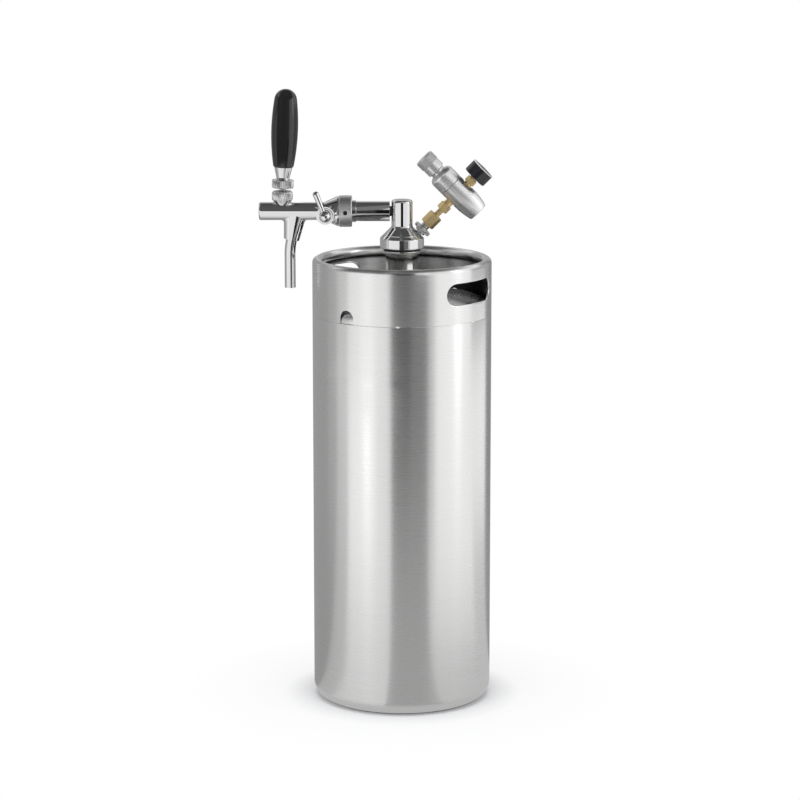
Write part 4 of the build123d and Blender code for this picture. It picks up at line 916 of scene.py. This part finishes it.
# %% Dial numerals
scale_top, scale_step = 60, 10
numeral_size, numeral_reach = 2.2, 6.6
for label in range(0, scale_top + 1, scale_step):
    letters = bpy.data.curves.new("numeral", "FONT")
    letters.body = str(label)
    letters.size = numeral_size * mm
    letters.align_x = "CENTER"
    letters.align_y = "CENTER"
    letters.resolution_u = 2
    mesh = mesh_of_curve("numeral", letters)
    turn = radians(sweep_start - sweep * label / scale_top)
    on_ring = Vector((-sin(turn), cos(turn), 0)) * numeral_reach * mm
    mesh.transform(dial_place @ Matrix.Translation(on_ring))
    piece = new_piece("numeral_" + str(label), mesh, "needle_black")
    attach(piece, "head")
print("numerals to", scale_top)

# %% [markdown]
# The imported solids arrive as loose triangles. A merged copy lets neighbouring faces share their
# corners, so smooth shading runs over each curve and breaks only at real edges. Machined edges are
# never knife sharp, so a small two-step bevel eases them, and a weighted normal keeps flats flat.

# %% Dress the other solids
flat_angle, sharp_angle = 0.4, 38


def merged(node):
    bm = bmesh.new()
    bm.from_mesh(nodes[node].data)
    bmesh.ops.remove_doubles(bm, verts=bm.verts, dist=merge_reach)
    return bm


def ease_edges(bm, width):
    bmesh.ops.dissolve_limit(bm, angle_limit=radians(flat_angle), verts=bm.verts, edges=bm.edges)
    least = radians(sharp_angle)
    sharp = [e for e in bm.edges if e.is_manifold and e.calc_face_angle() > least]
    bmesh.ops.bevel(bm, geom=sharp, offset=width * mm, offset_type="OFFSET", segments=2,
                    profile=0.5, affect="EDGES", material=-1, clamp_overlap=True)


eased = {
    "screw_collar": 0.35, "shank": 0.3, "coupling_nut": 0.35, "ferrule": 0.25, "flow_gland": 0.3,
    "gas_nut": 0.25, "gas_nipple": 0.2, "gauge_stem": 0.2, "gauge_case": 0.3, "neck": 0.3,
    "neck_ring": 0.3,
}
done = {
    "lock_nut", "bonnet_nut", "grip", "knob", "gas_inlet", "keg_wall", "keg_bottom",
    "keg_shoulder", "main_spring",
}
for node, width in eased.items():
    bm = merged(node)
    ease_edges(bm, width)
    piece = standing_for(node, bm)
    weighted = piece.modifiers.new("flat_faces", "WEIGHTED_NORMAL")
    weighted.keep_sharp = True
kept = sorted(set(nodes) - done - set(eased))
for node in kept:
    nodes[node].data.materials.clear()
    nodes[node].data.materials.append(finishes[node_slot[node]])
print("eased", len(eased), "solids, kept", len(kept))

# %% [markdown]
# A hook spanner grips the coupling nut by four shallow holes round its rim. The shade inside them is
# painted. The floor of each hole is found by its place: it faces outwards, but lies deeper than the
# rim. Those few faces take a second, darker finish, which is a painted shadow.

# %% Spanner holes
nut_low, nut_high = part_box("coupling_nut")
nut_axis = (nut_low[2] + nut_high[2]) / 2
nut_rim = (nut_high[2] - nut_low[2]) / 2
hole_step, facing_out = 0.6 * mm, 0.9
nut_mesh = bpy.data.objects["coupling_nut_fine"].data
nut_mesh.materials.append(finishes["hole_shadow"])
hole_faces = 0
for face in nut_mesh.polygons:
    out = Vector((0, face.center.y, face.center.z - nut_axis))
    if out.length < nut_rim - hole_step and out.normalized().dot(face.normal) > facing_out:
        face.material_index = 1
        hole_faces += 1
print("darkened", hole_faces, "faces in the spanner holes")

# %% [markdown]
# Inside the regulator a coil spring presses on the piston, and the knob's screw presses on the
# spring. Either end can move. Its copy is cut across the middle into an outer half, on the side of
# the screw's seat, and an inner half, on the side of the piston. The cut faces are filled, so that
# each half is a closed mesh.

# %% Spring halves
spring_axis = Vector(regulator_along)
spring_origin = Vector(regulator_centre) * mm
spring_verts = nodes["main_spring"].data.vertices
coil = [(vert.co - spring_origin).dot(spring_axis) for vert in spring_verts]
spring_cut = spring_origin + spring_axis * (min(coil) + max(coil)) / 2
for name, body, place in (
    ("main_spring_outer", "adjuster", min(coil)),
    ("main_spring_inner", "piston_unit", max(coil)),
):
    spring_end = spring_origin + spring_axis * place
    bm = merged("main_spring")
    halved = bmesh.ops.bisect_plane(
        bm, geom=[*bm.verts, *bm.edges, *bm.faces], dist=merge_reach, plane_co=spring_cut,
        plane_no=(spring_cut - spring_end).normalized(), clear_outer=True,
    )
    rim = [edge for edge in halved["geom_cut"] if isinstance(edge, bmesh.types.BMEdge)]
    bmesh.ops.holes_fill(bm, edges=rim)
    bmesh.ops.recalc_face_normals(bm, faces=bm.faces)
    mesh = mesh_from(name, bm)
    smooth(mesh)
    piece = new_piece(name, mesh, "inner_steel")
    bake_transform(piece)
    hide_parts("main_spring")
print("spring cut in halves of", round((max(coil) - min(coil)) / mm / 2, 1), "mm")
